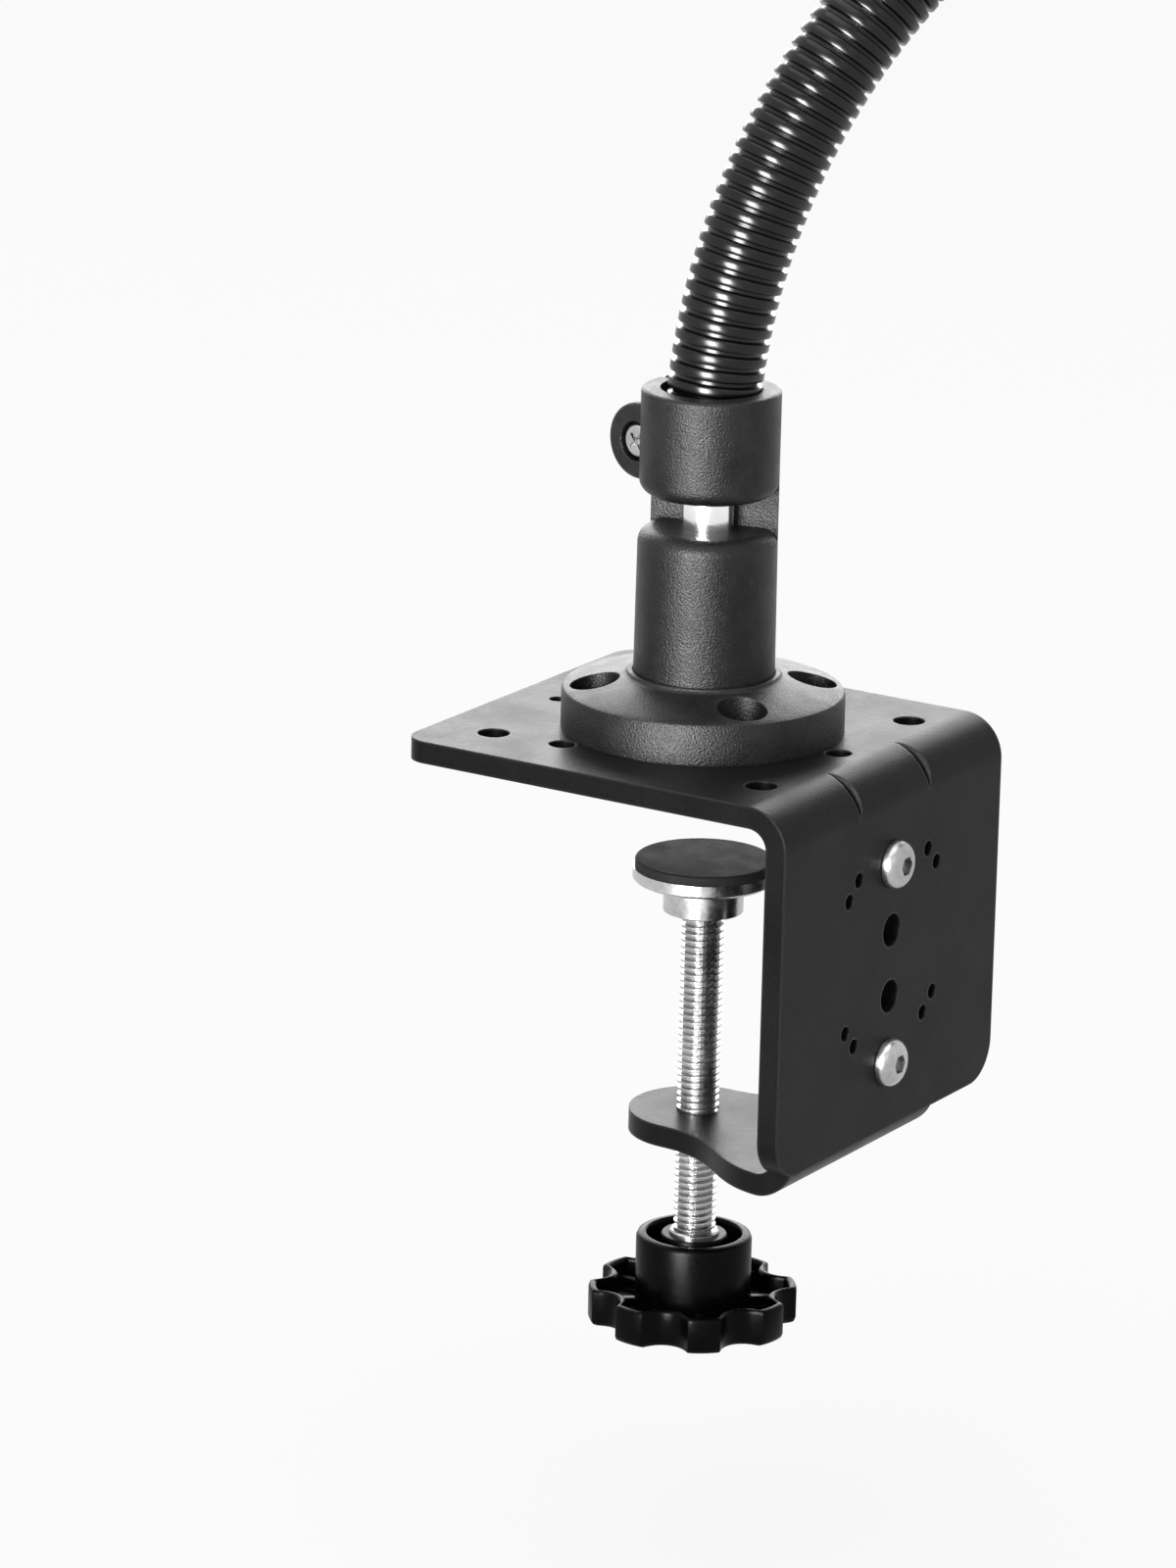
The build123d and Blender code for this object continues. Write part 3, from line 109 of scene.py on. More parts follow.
# %% [markdown]
# A black object on white is drawn by what it reflects. A white surround could light it from
# everywhere, but then every black part turns the same grey. A tall narrow lamp on the left
# leaves one bright spot on each ridge of the cover, and a large one behind skims across the
# top of the plate. Those two only make reflections, so that they leave no bright patches on
# the floor. A wide sheet overhead lights the colours and casts the shadow. The lamps themselves
# stay out of the picture.

# %% Lamps
AIM = Vector((0.0, 0.0, 0.02))


def softbox(name, place, wide, high, watts):
    """A rectangular lamp that faces the clamp."""
    data = bpy.data.lights.new(name, "AREA")
    data.shape = "RECTANGLE"
    data.size = wide
    data.size_y = high
    data.energy = watts
    lamp = bpy.data.objects.new(name, data)
    lamp.location = place
    lamp.rotation_euler = (AIM - Vector(place)).to_track_quat("-Z", "Y").to_euler()
    lamp.visible_camera = False
    bpy.context.scene.collection.objects.link(lamp)
    return lamp


side = softbox("side_strip", place=(-0.80, -0.09, 0.10), wide=0.34, high=0.44, watts=29.0)
back = softbox("back_window", place=(1.40, 0.85, 0.62), wide=1.80, high=1.20, watts=35.0)
top = softbox("top_sheet", place=(-0.40, 0.30, 3.00), wide=4.00, high=4.00, watts=75.0)
front = softbox("front_fill", place=(-0.90, -1.50, 0.90), wide=0.80, high=0.80, watts=1.0)
for lamp in (side, back):
    lamp.visible_diffuse = False
print("lamps", [lamp.name for lamp in (side, back, top, front)])

# %% [markdown]
# The background of a catalogue picture is pure white. More light on the object would bleach
# it, so only the rays that look straight at the surround, or meet it in a mirror or through
# glass, see white. Everything else is lit by a dim grey.

# %% World
WHITE_RAYS = ("Is Camera Ray", "Is Glossy Ray", "Is Transmission Ray")
WHITE = (1, 1, 1, 1)
FILL_LEVEL = 0.40


def add_node(tree, kind, x, y, **values):
    """Adds a node to a tree and sets its named inputs."""
    node = tree.nodes.new(kind)
    node.location = (x, y)
    for name, value in values.items():
        node.inputs[name.replace("_", " ")].default_value = value
    return node


def white_ray_mask(tree, x, y):
    """A value that is 1 for rays which should see the white surround."""
    path = add_node(tree, "ShaderNodeLightPath", x, y)
    total = path.outputs[WHITE_RAYS[0]]
    for step, name in enumerate(WHITE_RAYS[1:], start=1):
        add = add_node(tree, "ShaderNodeMath", x + 200 * step, y)
        add.operation = "MAXIMUM"
        tree.links.new(total, add.inputs[0])
        tree.links.new(path.outputs[name], add.inputs[1])
        total = add.outputs[0]
    return total


world = bpy.data.worlds.new("studio")
world.use_nodes = True
tree = world.node_tree
tree.nodes.clear()
fill = add_node(tree, "ShaderNodeBackground", 0, 0, Color=WHITE, Strength=FILL_LEVEL)
white = add_node(tree, "ShaderNodeBackground", 0, -160, Color=WHITE, Strength=1.0)
mix = add_node(tree, "ShaderNodeMixShader", 300, 0)
out = add_node(tree, "ShaderNodeOutputWorld", 500, 0)
tree.links.new(white_ray_mask(tree, -700, 200), mix.inputs[0])
tree.links.new(fill.outputs[0], mix.inputs[1])
tree.links.new(white.outputs[0], mix.inputs[2])
tree.links.new(mix.outputs[0], out.inputs[0])
bpy.context.scene.world = world
bpy.context.scene.view_settings.view_transform = "Standard"
print("world", world.name)

# %% [markdown]
# The floor is a plain white sheet, low enough for the knob to be screwed right down. It could
# be left out, but its soft shadow shows how far down the knob hangs.

# %% Floor sheet
FLOOR_DROP = 0.050
FLOOR_SIZE = 40.0


def linked_object(name, bm):
    """Turns a bmesh into an object that stands in the scene."""
    mesh = bpy.data.meshes.new(name)
    bm.to_mesh(mesh)
    bm.free()
    item = bpy.data.objects.new(name, mesh)
    bpy.context.scene.collection.objects.link(item)
    return item


bm = bmesh.new()
bmesh.ops.create_grid(bm, x_segments=1, y_segments=1, size=FLOOR_SIZE / 2)
bmesh.ops.translate(bm, verts=bm.verts, vec=(0, 0, cad_box[0][2] - FLOOR_DROP))
floor = linked_object("floor", bm)
print("floor at", round(cad_box[0][2] - FLOOR_DROP, 4))

# %% [markdown]
# A lit sheet is never as white as the background, and its far edge would show as a line. So
# part of the floor's white is its own light, and only the rest is lit and takes the shadow.

# %% Floor finish
FLOOR_GREY = (0.90, 0.90, 0.90, 1)
FLOOR_OWN_WHITE = 0.85

paper = bpy.data.materials.new("white_sheet")
paper.use_nodes = True
tree = paper.node_tree
tree.nodes.clear()
matt = add_node(tree, "ShaderNodeBsdfDiffuse", 0, 0, Color=FLOOR_GREY)
glow = add_node(tree, "ShaderNodeEmission", 0, -160, Color=WHITE, Strength=1.0)
part = add_node(tree, "ShaderNodeMath", 0, 200)
part.operation = "MULTIPLY"
part.inputs[1].default_value = FLOOR_OWN_WHITE
mix = add_node(tree, "ShaderNodeMixShader", 300, 0)
out = add_node(tree, "ShaderNodeOutputMaterial", 500, 0)
tree.links.new(white_ray_mask(tree, -700, 200), part.inputs[0])
tree.links.new(part.outputs[0], mix.inputs[0])
tree.links.new(matt.outputs[0], mix.inputs[1])
tree.links.new(glow.outputs[0], mix.inputs[2])
tree.links.new(mix.outputs[0], out.inputs[0])
floor.data.materials.append(paper)
print("own white", FLOOR_OWN_WHITE)

# %% [markdown]
# Every finish here shares three things: a fine surface grain that breaks up reflections, a
# slow mottling of colour and gloss, as from handling and moulding, and edges that are a little
# round and lighter, partly from wear and partly as a painted highlight. Each could be built anew
# in every material. One group for each, with named inputs, keeps them alike and easy to tune.

# %% Surface grain
GRAIN_DETAIL = 3.0
GRAIN_DEPTH = 0.0002


def new_group(name, inputs, outputs):
    """A shader node group with named sockets."""
    group = bpy.data.node_groups.new(name, "ShaderNodeTree")
    for label, value in inputs:
        socket = group.interface.new_socket(name=label, in_out="INPUT", socket_type="NodeSocketFloat")
        socket.default_value = value
    for label, kind in outputs:
        group.interface.new_socket(name=label, in_out="OUTPUT", socket_type=kind)
    return group


def object_noise(group, inputs, x, y, scale_name, detail):
    """Noise on Object coordinates whose scale comes from a group input."""
    place = add_node(group, "ShaderNodeTexCoord", x, y)
    noise = add_node(group, "ShaderNodeTexNoise", x + 200, y, Detail=detail)
    group.links.new(place.outputs["Object"], noise.inputs["Vector"])
    group.links.new(inputs.outputs[scale_name], noise.inputs["Scale"])
    return noise


grain_group = new_group(
    "surface_grain",
    [("Scale", 900.0), ("Strength", 0.1), ("Edge Radius", 0.0003)],
    [("Normal", "NodeSocketVector")])
inputs = add_node(grain_group, "NodeGroupInput", -400, 0)
noise = object_noise(grain_group, inputs, -200, 0, "Scale", GRAIN_DETAIL)
bevel = add_node(grain_group, "ShaderNodeBevel", 0, -250)
bump = add_node(grain_group, "ShaderNodeBump", 250, 0, Distance=GRAIN_DEPTH)
outputs = add_node(grain_group, "NodeGroupOutput", 450, 0)
grain_group.links.new(inputs.outputs["Edge Radius"], bevel.inputs["Radius"])
grain_group.links.new(noise.outputs[0], bump.inputs["Height"])
grain_group.links.new(inputs.outputs["Strength"], bump.inputs["Strength"])
grain_group.links.new(bevel.outputs[0], bump.inputs["Normal"])
grain_group.links.new(bump.outputs[0], outputs.inputs["Normal"])
print("group", grain_group.name)

# %% [markdown]
# An edge is found by comparing two normals: the true one, and one that is rounded over a
# small radius. They agree on a flat face and part ways near an edge. The mask lightens the
# edges, which stands partly for rubbed wear and partly for a painted highlight along them. A
# mask painted as a picture would need a map for every piece.

# %% Rubbed edges and painted edge highlights
WEAR_GLINT_FROM = 0.99
WEAR_GLINT_TO = 0.80

wear_and_glint_group = new_group(
    "rubbed_edge_and_glint", [("Edge Radius", 0.0005), ("Amount", 1.0)], [("Value", "NodeSocketFloat")])
inputs = add_node(wear_and_glint_group, "NodeGroupInput", -400, 0)
bevel = add_node(wear_and_glint_group, "ShaderNodeBevel", -200, 0)
shape = add_node(wear_and_glint_group, "ShaderNodeNewGeometry", -200, -200)
match = add_node(wear_and_glint_group, "ShaderNodeVectorMath", 0, 0)
match.operation = "DOT_PRODUCT"
turn = add_node(wear_and_glint_group, "ShaderNodeMapRange", 200, 0, From_Min=WEAR_GLINT_FROM, From_Max=WEAR_GLINT_TO)
outputs = add_node(wear_and_glint_group, "NodeGroupOutput", 450, 0)
wear_and_glint_group.links.new(inputs.outputs["Edge Radius"], bevel.inputs["Radius"])
wear_and_glint_group.links.new(bevel.outputs[0], match.inputs[0])
wear_and_glint_group.links.new(shape.outputs["Normal"], match.inputs[1])
wear_and_glint_group.links.new(match.outputs["Value"], turn.inputs["Value"])
wear_and_glint_group.links.new(inputs.outputs["Amount"], turn.inputs["To Max"])
wear_and_glint_group.links.new(turn.outputs[0], outputs.inputs["Value"])
print("group", wear_and_glint_group.name)

# %% [markdown]
# No moulded or coated surface is one even grey. A single noise would look like clouds, so a
# share of a fine noise is added to a coarse one. The middle of their range is then spread
# between a low and a high value, which serve a colour mix or a roughness.

# %% Slow mottle
COARSE_DETAIL = 5.0
FINE_DETAIL = 2.0
FINE_SHARE = 0.35
MOTTLE_FROM = 0.50
MOTTLE_TO = 0.85

mottle_group = new_group(
    "slow_mottle",
    [("Scale", 60.0), ("Low", 0.3), ("High", 0.5), ("Detail Scale", 700.0)],
    [("Value", "NodeSocketFloat")])
inputs = add_node(mottle_group, "NodeGroupInput", -600, 0)
coarse = object_noise(mottle_group, inputs, -400, 100, "Scale", COARSE_DETAIL)
fine = object_noise(mottle_group, inputs, -400, -150, "Detail Scale", FINE_DETAIL)
blend = add_node(mottle_group, "ShaderNodeMath", 20, 0)
blend.operation = "MULTIPLY_ADD"
blend.inputs[1].default_value = FINE_SHARE
spread = add_node(mottle_group, "ShaderNodeMapRange", 220, 0, From_Min=MOTTLE_FROM, From_Max=MOTTLE_TO)
outputs = add_node(mottle_group, "NodeGroupOutput", 450, 0)
mottle_group.links.new(fine.outputs[0], blend.inputs[0])
mottle_group.links.new(coarse.outputs[0], blend.inputs[2])
mottle_group.links.new(blend.outputs[0], spread.inputs["Value"])
mottle_group.links.new(inputs.outputs["Low"], spread.inputs["To Min"])
mottle_group.links.new(inputs.outputs["High"], spread.inputs["To Max"])
mottle_group.links.new(spread.outputs[0], outputs.inputs["Value"])
print("group", mottle_group.name)

# %% [markdown]
# Each finish is one Principled shader, whose colour and roughness wander between two values.
# Its three tones are the darkest grey, the lightest grey and the grey of the edges, which is
# partly rubbed wear and partly a painted highlight. A picture texture could hold all this, but
# it would have to be painted for every piece.

# %% One finish
WEAR_GLINT_WIDTH = 1.6
GLOSS_SCALE = 1.7
MIX_FIRST = 6
MIX_SECOND = 7
MIX_COLOUR = 2


def add_effect(tree, group, x, y, **values):
    """Places a shared effect in a material and sets its named inputs."""
    node = tree.nodes.new("ShaderNodeGroup")
    node.node_tree = group
    node.location = (x, y)
    for name, value in values.items():
        node.inputs[name.replace("_", " ")].default_value = value
    return node


def add_grey_mix(tree, x, y, second):
    """A colour mix whose second colour is a plain grey."""
    node = add_node(tree, "ShaderNodeMix", x, y)
    node.data_type = "RGBA"
    node.inputs[MIX_SECOND].default_value = (second, second, second, 1.0)
    return node


def finish(name, tones, rough, metal, specular, grain, mottle, edge, wear_and_glint_amount):
    """Mottled grey and roughness, a fine grain, and edges lightened by wear and a painted highlight.
    """
    material = bpy.data.materials.new(name)
    material.use_nodes = True
    tree = material.node_tree
    dark, light, wear_and_glint_tone = tones
    shader = tree.nodes["Principled BSDF"]
    shader.inputs["Metallic"].default_value = metal
    shader.inputs["Specular IOR Level"].default_value = specular
    tone = add_effect(tree, mottle_group, -900, 200, Scale=mottle, Low=0.0, High=1.0)
    body = add_grey_mix(tree, -600, 200, light)
    body.inputs[MIX_FIRST].default_value = (dark, dark, dark, 1.0)
    # The edge mask lightens the colour towards the third tone: partly wear, partly a painted
    # highlight.
    edge_wear_and_glint = add_effect(tree, wear_and_glint_group, -600, 450, Edge_Radius=edge * WEAR_GLINT_WIDTH, Amount=wear_and_glint_amount)
    colour = add_grey_mix(tree, -300, 300, wear_and_glint_tone)
    gloss = add_effect(
        tree, mottle_group, -900, -100, Scale=mottle * GLOSS_SCALE, Low=rough[0], High=rough[1])
    skin = add_effect(
        tree, grain_group, -900, -400, Scale=grain[0], Strength=grain[1], Edge_Radius=edge)
    tree.links.new(tone.outputs[0], body.inputs[0])
    tree.links.new(edge_wear_and_glint.outputs[0], colour.inputs[0])
    tree.links.new(body.outputs[MIX_COLOUR], colour.inputs[MIX_FIRST])
    tree.links.new(colour.outputs[MIX_COLOUR], shader.inputs["Base Color"])
    tree.links.new(gloss.outputs[0], shader.inputs["Roughness"])
    tree.links.new(skin.outputs[0], shader.inputs["Normal"])
    return material


print("gloss mottle is", GLOSS_SCALE, "times as fine as the colour's")

# %% [markdown]
# Eight finishes cover the whole object: black powder coat on the bent steel, matte glass-filled
# plastic on the mouldings, glossy plastic on the cover and a duller one on the knobs, zinc
# plate, bright steel, black oxide and rubber. Black plastic could be given its full
# reflection, but under a white sky it would look grey, so the specular level is low. A
# measured piece gets the finish that the record names. The two pinch screws are named black
# there, but the collar's one shines like zinc in the photograph, so both get zinc.

# %% All finishes
looks = {
    # The powder coat's edge grey is ten times its body's: a little wear, mostly a painted highlight of
    # the left lamp along the plate's edges and hole rims.
    "powder_steel": dict(
        tones=(0.006, 0.009, 0.090), rough=(0.34, 0.42), metal=0.0, specular=0.085,
        grain=(1500, 0.30), mottle=40, edge=0.0006, wear_and_glint_amount=0.8),
    "moulded_plastic": dict(
        tones=(0.003, 0.020, 0.050), rough=(0.38, 0.46), metal=0.0, specular=0.24,
        grain=(2200, 0.90), mottle=120, edge=0.0005, wear_and_glint_amount=0.6),
    "cover_plastic": dict(
        tones=(0.003, 0.006, 0.010), rough=(0.20, 0.28), metal=0.0, specular=0.30,
        grain=(700, 0.05), mottle=60, edge=0.0001, wear_and_glint_amount=0.2),
    "knob_plastic": dict(
        tones=(0.001, 0.003, 0.010), rough=(0.24, 0.34), metal=0.0, specular=0.05,
        grain=(900, 0.12), mottle=60, edge=0.0007, wear_and_glint_amount=0.3),
    "zinc_steel": dict(
        tones=(0.34, 0.50, 0.62), rough=(0.20, 0.32), metal=1.0, specular=0.5,
        grain=(1400, 0.12), mottle=60, edge=0.0001, wear_and_glint_amount=0.5),
    "bright_steel": dict(
        tones=(0.80, 0.92, 0.95), rough=(0.12, 0.22), metal=1.0, specular=0.5,
        grain=(900, 0.10), mottle=80, edge=0.0002, wear_and_glint_amount=0.5),
    "black_steel": dict(
        tones=(0.10, 0.30, 0.40), rough=(0.25, 0.40), metal=0.9, specular=0.5,
        grain=(1600, 0.30), mottle=200, edge=0.0002, wear_and_glint_amount=0.5),
    "rubber": dict(
        tones=(0.010, 0.016, 0.025), rough=(0.70, 0.85), metal=0.0, specular=0.20,
        grain=(1300, 0.50), mottle=70, edge=0.0004, wear_and_glint_amount=0.3),
}
finishes = {name: finish(name, **look) for name, look in looks.items()}
for subpart in frame["record"]["subparts"]:
    data = nodes[subpart["node"]].data
    data.materials.clear()
    data.materials.append(finishes[subpart["material_slot"]])
for name in ("pinch_screw", "head_pinch_screw"):
    nodes[name].data.materials[0] = finishes["zinc_steel"]
print("finishes", sorted(finishes))

# %% [markdown]
# The gooseneck rises straight for a little and then bends through a quarter circle. Its points
# could be read from the measured cover, but a formula also gives the direction across the neck,
# which the cover needs to be laid along it.

# %% The neck's line
NECK_AZIMUTH = math.radians(-35.0)
BEND_R = 0.148
SEAT_Z = 0.0605
STRAIGHT = 0.007

bend_dir = Vector((math.cos(NECK_AZIMUTH), math.sin(NECK_AZIMUTH), 0))
hinge_dir = Vector((-bend_dir.y, bend_dir.x, 0))
arc_length = BEND_R * math.pi / 2


def neck_point(run):
    """The neck's centre and sideways direction at a distance from its seat."""
    turn = min(max((run - STRAIGHT) / BEND_R, 0.0), math.pi / 2)
    along = bend_dir * math.sin(turn) + Vector((0, 0, math.cos(turn)))
    side = bend_dir * math.cos(turn) - Vector((0, 0, math.sin(turn)))
    rise = Vector((0, 0, SEAT_Z + STRAIGHT + BEND_R * math.sin(turn)))
    centre = bend_dir * BEND_R * (1 - math.cos(turn)) + rise
    rest = run - STRAIGHT - turn * BEND_R
    return centre + along * rest, side


print("neck ends at", tuple(round(c, 4) for c in neck_point(2 * STRAIGHT + arc_length)[0]))

# %% [markdown]
# The cover is a blow-moulded tube with a square-shouldered ridge every 3.4 mm, so that it bends
# without kinking. It could be a plain tube with a bump pattern, but its edge against the white
# would then be smooth. Here the outline of the tube's wall is spun into a straight tube, which
# is then laid along the neck's arc. A ridge's outline has rounded corners, because each one
# catches a spot of light.

# %% A ridge's outline
ARC_RIDGES = 68
RIDGE_R = 0.01045
GROOVE_R = 0.0092
WALL_INNER_R = 0.0083
RIDGE_SHARE = 0.66
CORNER = 0.00045
ARC_SHARE = 0.3

arc_pitch = BEND_R * math.pi / 2 / ARC_RIDGES


def ridge_wire(start, end):
    """The outline of one ridge and half a groove on each side, as radius and run."""
    half = (end - start) * RIDGE_SHARE / 2
    middle = (start + end) / 2
    slope = CORNER / 2
    soft = CORNER * ARC_SHARE
    return [
        (GROOVE_R, start),
        (GROOVE_R, middle - half - slope),
        (GROOVE_R + CORNER, middle - half),
        (RIDGE_R - CORNER, middle - half),
        (RIDGE_R - soft, middle - half + soft),
        (RIDGE_R, middle - half + CORNER),
        (RIDGE_R, middle + half - CORNER),
        (RIDGE_R - soft, middle + half - soft),
        (RIDGE_R - CORNER, middle + half),
        (GROOVE_R + CORNER, middle + half),
        (GROOVE_R, middle + half + slope),
    ]


print("ridge pitch", round(arc_pitch, 5), "height", round(RIDGE_R - GROOVE_R, 5))

# %% [markdown]
# Round pieces begin as one outline that is spun about the upright axis, with its first and last
# copies merged. Afterwards a piece is shaded smooth, except across its real edges. An Edge
# Split modifier could do that too, but it would open the mesh.

# %% Spinning and shading
MERGE = 1e-6


def add_outline(bm, outline, closed=False):
    """Adds a chain of points, given as radius and height, and returns its geometry."""
    corners = [bm.verts.new((radius, 0, height)) for radius, height in outline]
    ends = corners[1:] + corners[:1] if closed else corners[1:]
    return corners + [bm.edges.new(pair) for pair in zip(corners, ends)]


def spin_round(bm, outline, steps, closed=False):
    """Spins an outline once round the upright axis and merges where it meets."""
    bmesh.ops.spin(
        bm, geom=add_outline(bm, outline, closed), cent=(0, 0, 0), axis=(0, 0, 1), angle=math.tau,
        steps=steps, use_merge=True)
    bmesh.ops.remove_doubles(bm, verts=bm.verts, dist=MERGE)


def shade(bm, sharp_degrees, flat_caps=False):
    """Smooths the faces, keeps edges sharp past an angle, and keeps many-sided caps flat."""
    for face in bm.faces:
        face.smooth = not flat_caps or len(face.verts) <= 4
    for edge in bm.edges:
        if len(edge.link_faces) == 2 and edge.calc_face_angle(0) > math.radians(sharp_degrees):
            edge.smooth = False


def finished_piece(name, bm, finish_name):
    """Turns a bmesh into a linked object with one of the finishes."""
    piece = linked_object(name, bm)
    piece.data.materials.append(finishes[finish_name])
    return piece


print("points closer than", MERGE, "m are merged")

# %% [markdown]
# The cover is one tube on the real neck, which bends across six hinges. A piece here can blend
# between two bodies only. Here the tube is cut in a groove near the middle of every link but
# the first and the last, and each length is a closed wall laid along the neck's arc.

# %% Corrugated cover
ROUND_STEPS = 48
COVER_SHARP = 40
CUT_GROOVES = (15, 24, 34, 44, 53)


def cover_length(name, grooves):
    """One length of cover between two of its grooves, laid along the neck."""
    bm = bmesh.new()
    wire = []
    for start, end in zip(grooves, grooves[1:]):
        wire += ridge_wire(start, end)
    wire.append((GROOVE_R, grooves[-1]))
    wire += [(WALL_INNER_R, run) for run in reversed(grooves)]
    spin_round(bm, wire, ROUND_STEPS, closed=True)
    for corner in bm.verts:
        centre, side = neck_point(corner.co.z)
        corner.co = centre + side * corner.co.x + hinge_dir * corner.co.y
    bmesh.ops.recalc_face_normals(bm, faces=bm.faces)
    shade(bm, COVER_SHARP)
    return finished_piece(name, bm, "cover_plastic")


end_pitch = STRAIGHT / 2
groove_runs = [0.0, end_pitch]
groove_runs += [STRAIGHT + index * arc_pitch for index in range(ARC_RIDGES + 1)]
groove_runs += [STRAIGHT + arc_length + end_pitch, 2 * STRAIGHT + arc_length]
cuts = [0] + [groove + 2 for groove in CUT_GROOVES] + [len(groove_runs) - 1]
for index, (first, last) in enumerate(zip(cuts, cuts[1:])):
    piece = cover_length("cover_length_" + str(index + 1), groove_runs[first:last + 1])
    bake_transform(piece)
    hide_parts("gooseneck_cover")
print("cover lengths", len(cuts) - 1, "ridges", len(groove_runs) - 1)

# %% [markdown]
# The clamp screw is a 3/8 inch rod with 16 threads to the inch, cut or rolled along all of its
# length. A texture could fake the thread, but the teeth show against the white. So the outline
# of one tooth, a pitch tall, is spun round while it climbs, and each turn meets the last. The
# rod's two ends are then cut square. Its faces stay flat, as they are too small to show.

# %% The screw's thread
THREAD_PITCH = 0.0254 / 16
MAJOR_R = 0.0047625
MINOR_R = 0.00385
CREST_FLAT = THREAD_PITCH / 3.5
ROOT_FLAT = THREAD_PITCH / 8
TURN_STEPS = 32
SPARE_TURNS = 3
TURNS_BELOW = 2
THREAD_MERGE = 2e-6
CUT_MERGE = 1e-7
PILOT_LENGTH = 0.0075

screw_low, screw_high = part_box("clamp_spindle")
shoulder = screw_high.z - PILOT_LENGTH
slope = (THREAD_PITCH - CREST_FLAT - ROOT_FLAT) / 2
one_turn = [
    (MINOR_R, 0.0),
    (MAJOR_R, slope),
    (MAJOR_R, slope + CREST_FLAT),
    (MINOR_R, 2 * slope + CREST_FLAT),
    (MINOR_R, THREAD_PITCH),
]
turns = math.ceil((shoulder - screw_low.z) / THREAD_PITCH) + SPARE_TURNS
rod = bmesh.new()
bmesh.ops.spin(
    rod, geom=add_outline(rod, one_turn), cent=(0, 0, 0), axis=(0, 0, 1), angle=math.tau * turns,
    steps=TURN_STEPS * turns, dvec=(0, 0, THREAD_PITCH / TURN_STEPS), use_merge=False)
bmesh.ops.remove_doubles(rod, verts=rod.verts, dist=THREAD_MERGE)
bmesh.ops.translate(rod, verts=rod.verts, vec=(0, 0, screw_low.z - TURNS_BELOW * THREAD_PITCH))
for height, up in ((screw_low.z, -1), (shoulder, 1)):
    cut = bmesh.ops.bisect_plane(
        rod, geom=rod.verts[:] + rod.edges[:] + rod.faces[:], dist=CUT_MERGE,
        plane_co=(0, 0, height), plane_no=(0, 0, up), clear_outer=True)
    rim = [item for item in cut["geom_cut"] if isinstance(item, bmesh.types.BMEdge)]
    bmesh.ops.holes_fill(rod, edges=rim, sides=0)
bmesh.ops.recalc_face_normals(rod, faces=rod.faces)
print("thread turns", turns, "faces", len(rod.faces))

# %% [markdown]
# The rod's top is turned down to a plain pin with a groove for the clip that holds the pad. It
# is spun from its own outline and set into the rod's top, because the thread's cut end is not a
# plain circle that it could grow from.

# %% Threaded clamp screw
SCREW_PLACE = Vector((0.0, -0.0015, 0.0))
PILOT_R = 0.0032
PILOT_GROOVE_R = 0.0025
GROOVE_RISE = 0.0013
GROOVE_HEIGHT = 0.0014
END_BEVEL = 0.0008

pilot = [
    (0.0, shoulder - END_BEVEL),
    (PILOT_R, shoulder - END_BEVEL),
    (PILOT_R, shoulder + GROOVE_RISE),
    (PILOT_GROOVE_R, shoulder + GROOVE_RISE),
    (PILOT_GROOVE_R, shoulder + GROOVE_RISE + GROOVE_HEIGHT),
    (PILOT_R, shoulder + GROOVE_RISE + GROOVE_HEIGHT),
    (PILOT_R, screw_high.z - END_BEVEL / 2),
    (PILOT_R - END_BEVEL / 2, screw_high.z),
    (0.0, screw_high.z),
]
pin = bmesh.new()
spin_round(pin, pilot, TURN_STEPS)
bmesh.ops.recalc_face_normals(pin, faces=pin.faces)
pin_mesh = bpy.data.meshes.new("pilot")
pin.to_mesh(pin_mesh)
pin.free()
rod.from_mesh(pin_mesh)
bpy.data.meshes.remove(pin_mesh)
bmesh.ops.translate(rod, verts=rod.verts, vec=SCREW_PLACE)
thread = finished_piece("threaded_screw", rod, "zinc_steel")
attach(thread, "spindle")
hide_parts("clamp_spindle")
print("threaded screw faces", len(thread.data.polygons))

# %% [markdown]
# The knob is moulded in one: a lobed rim, a tall hub, a ring-shaped hollow between them crossed
# by ribs, and a deep well round the screw. The measured solid has the same shape with sharp
# edges. A real moulding has none, and black plastic is seen by the light along its edges. A
# bevel modifier could round them, but not evenly on a measured solid's triangles. So one ring of
# points is extruded over and over, and most corners get extra rings for their round.

# %% The knob's lobes
KNOB_LOBES = 8
RIM_R = 0.0237
SCOOP_CENTRE = 0.0258
SCOOP_R = 0.0060
SCOOP_SOFT = 0.0011
SCOOP_SLOPE = 1.2
SCOOP_ANGLE = math.pi / KNOB_LOBES


def circle(angle, radius):
    """The reach of a circle, which is the same at every angle."""
    return radius


def lobed_rim(angle, inset):
    """The reach of the rim: a circle with soft scoops cut into it, less an inset."""
    period = math.tau / KNOB_LOBES
    turn = (angle - SCOOP_ANGLE + period / 2) % period - period / 2
    reach = SCOOP_CENTRE * math.sin(turn)
    if abs(reach) >= SCOOP_R:
        cut = RIM_R + (abs(reach) - SCOOP_R) * SCOOP_SLOPE + SCOOP_SOFT
    else:
        cut = SCOOP_CENTRE * math.cos(turn) - math.sqrt(SCOOP_R ** 2 - reach ** 2)
    gap = RIM_R - cut
    return RIM_R - 0.5 * (gap + math.sqrt(gap * gap + SCOOP_SOFT ** 2)) - inset


print("rim reach", round(lobed_rim(0.0, 0.0), 5), "scoop", round(lobed_rim(SCOOP_ANGLE, 0.0), 5))

# %% [markdown]
# The profile runs from the rim's underside up over the rim, down into the hollow, up and over
# the hub, down into the well, and over the boss into the bore. Every ring has an outline, a
# size and a height. On the rim the size is the distance inside the lobes.

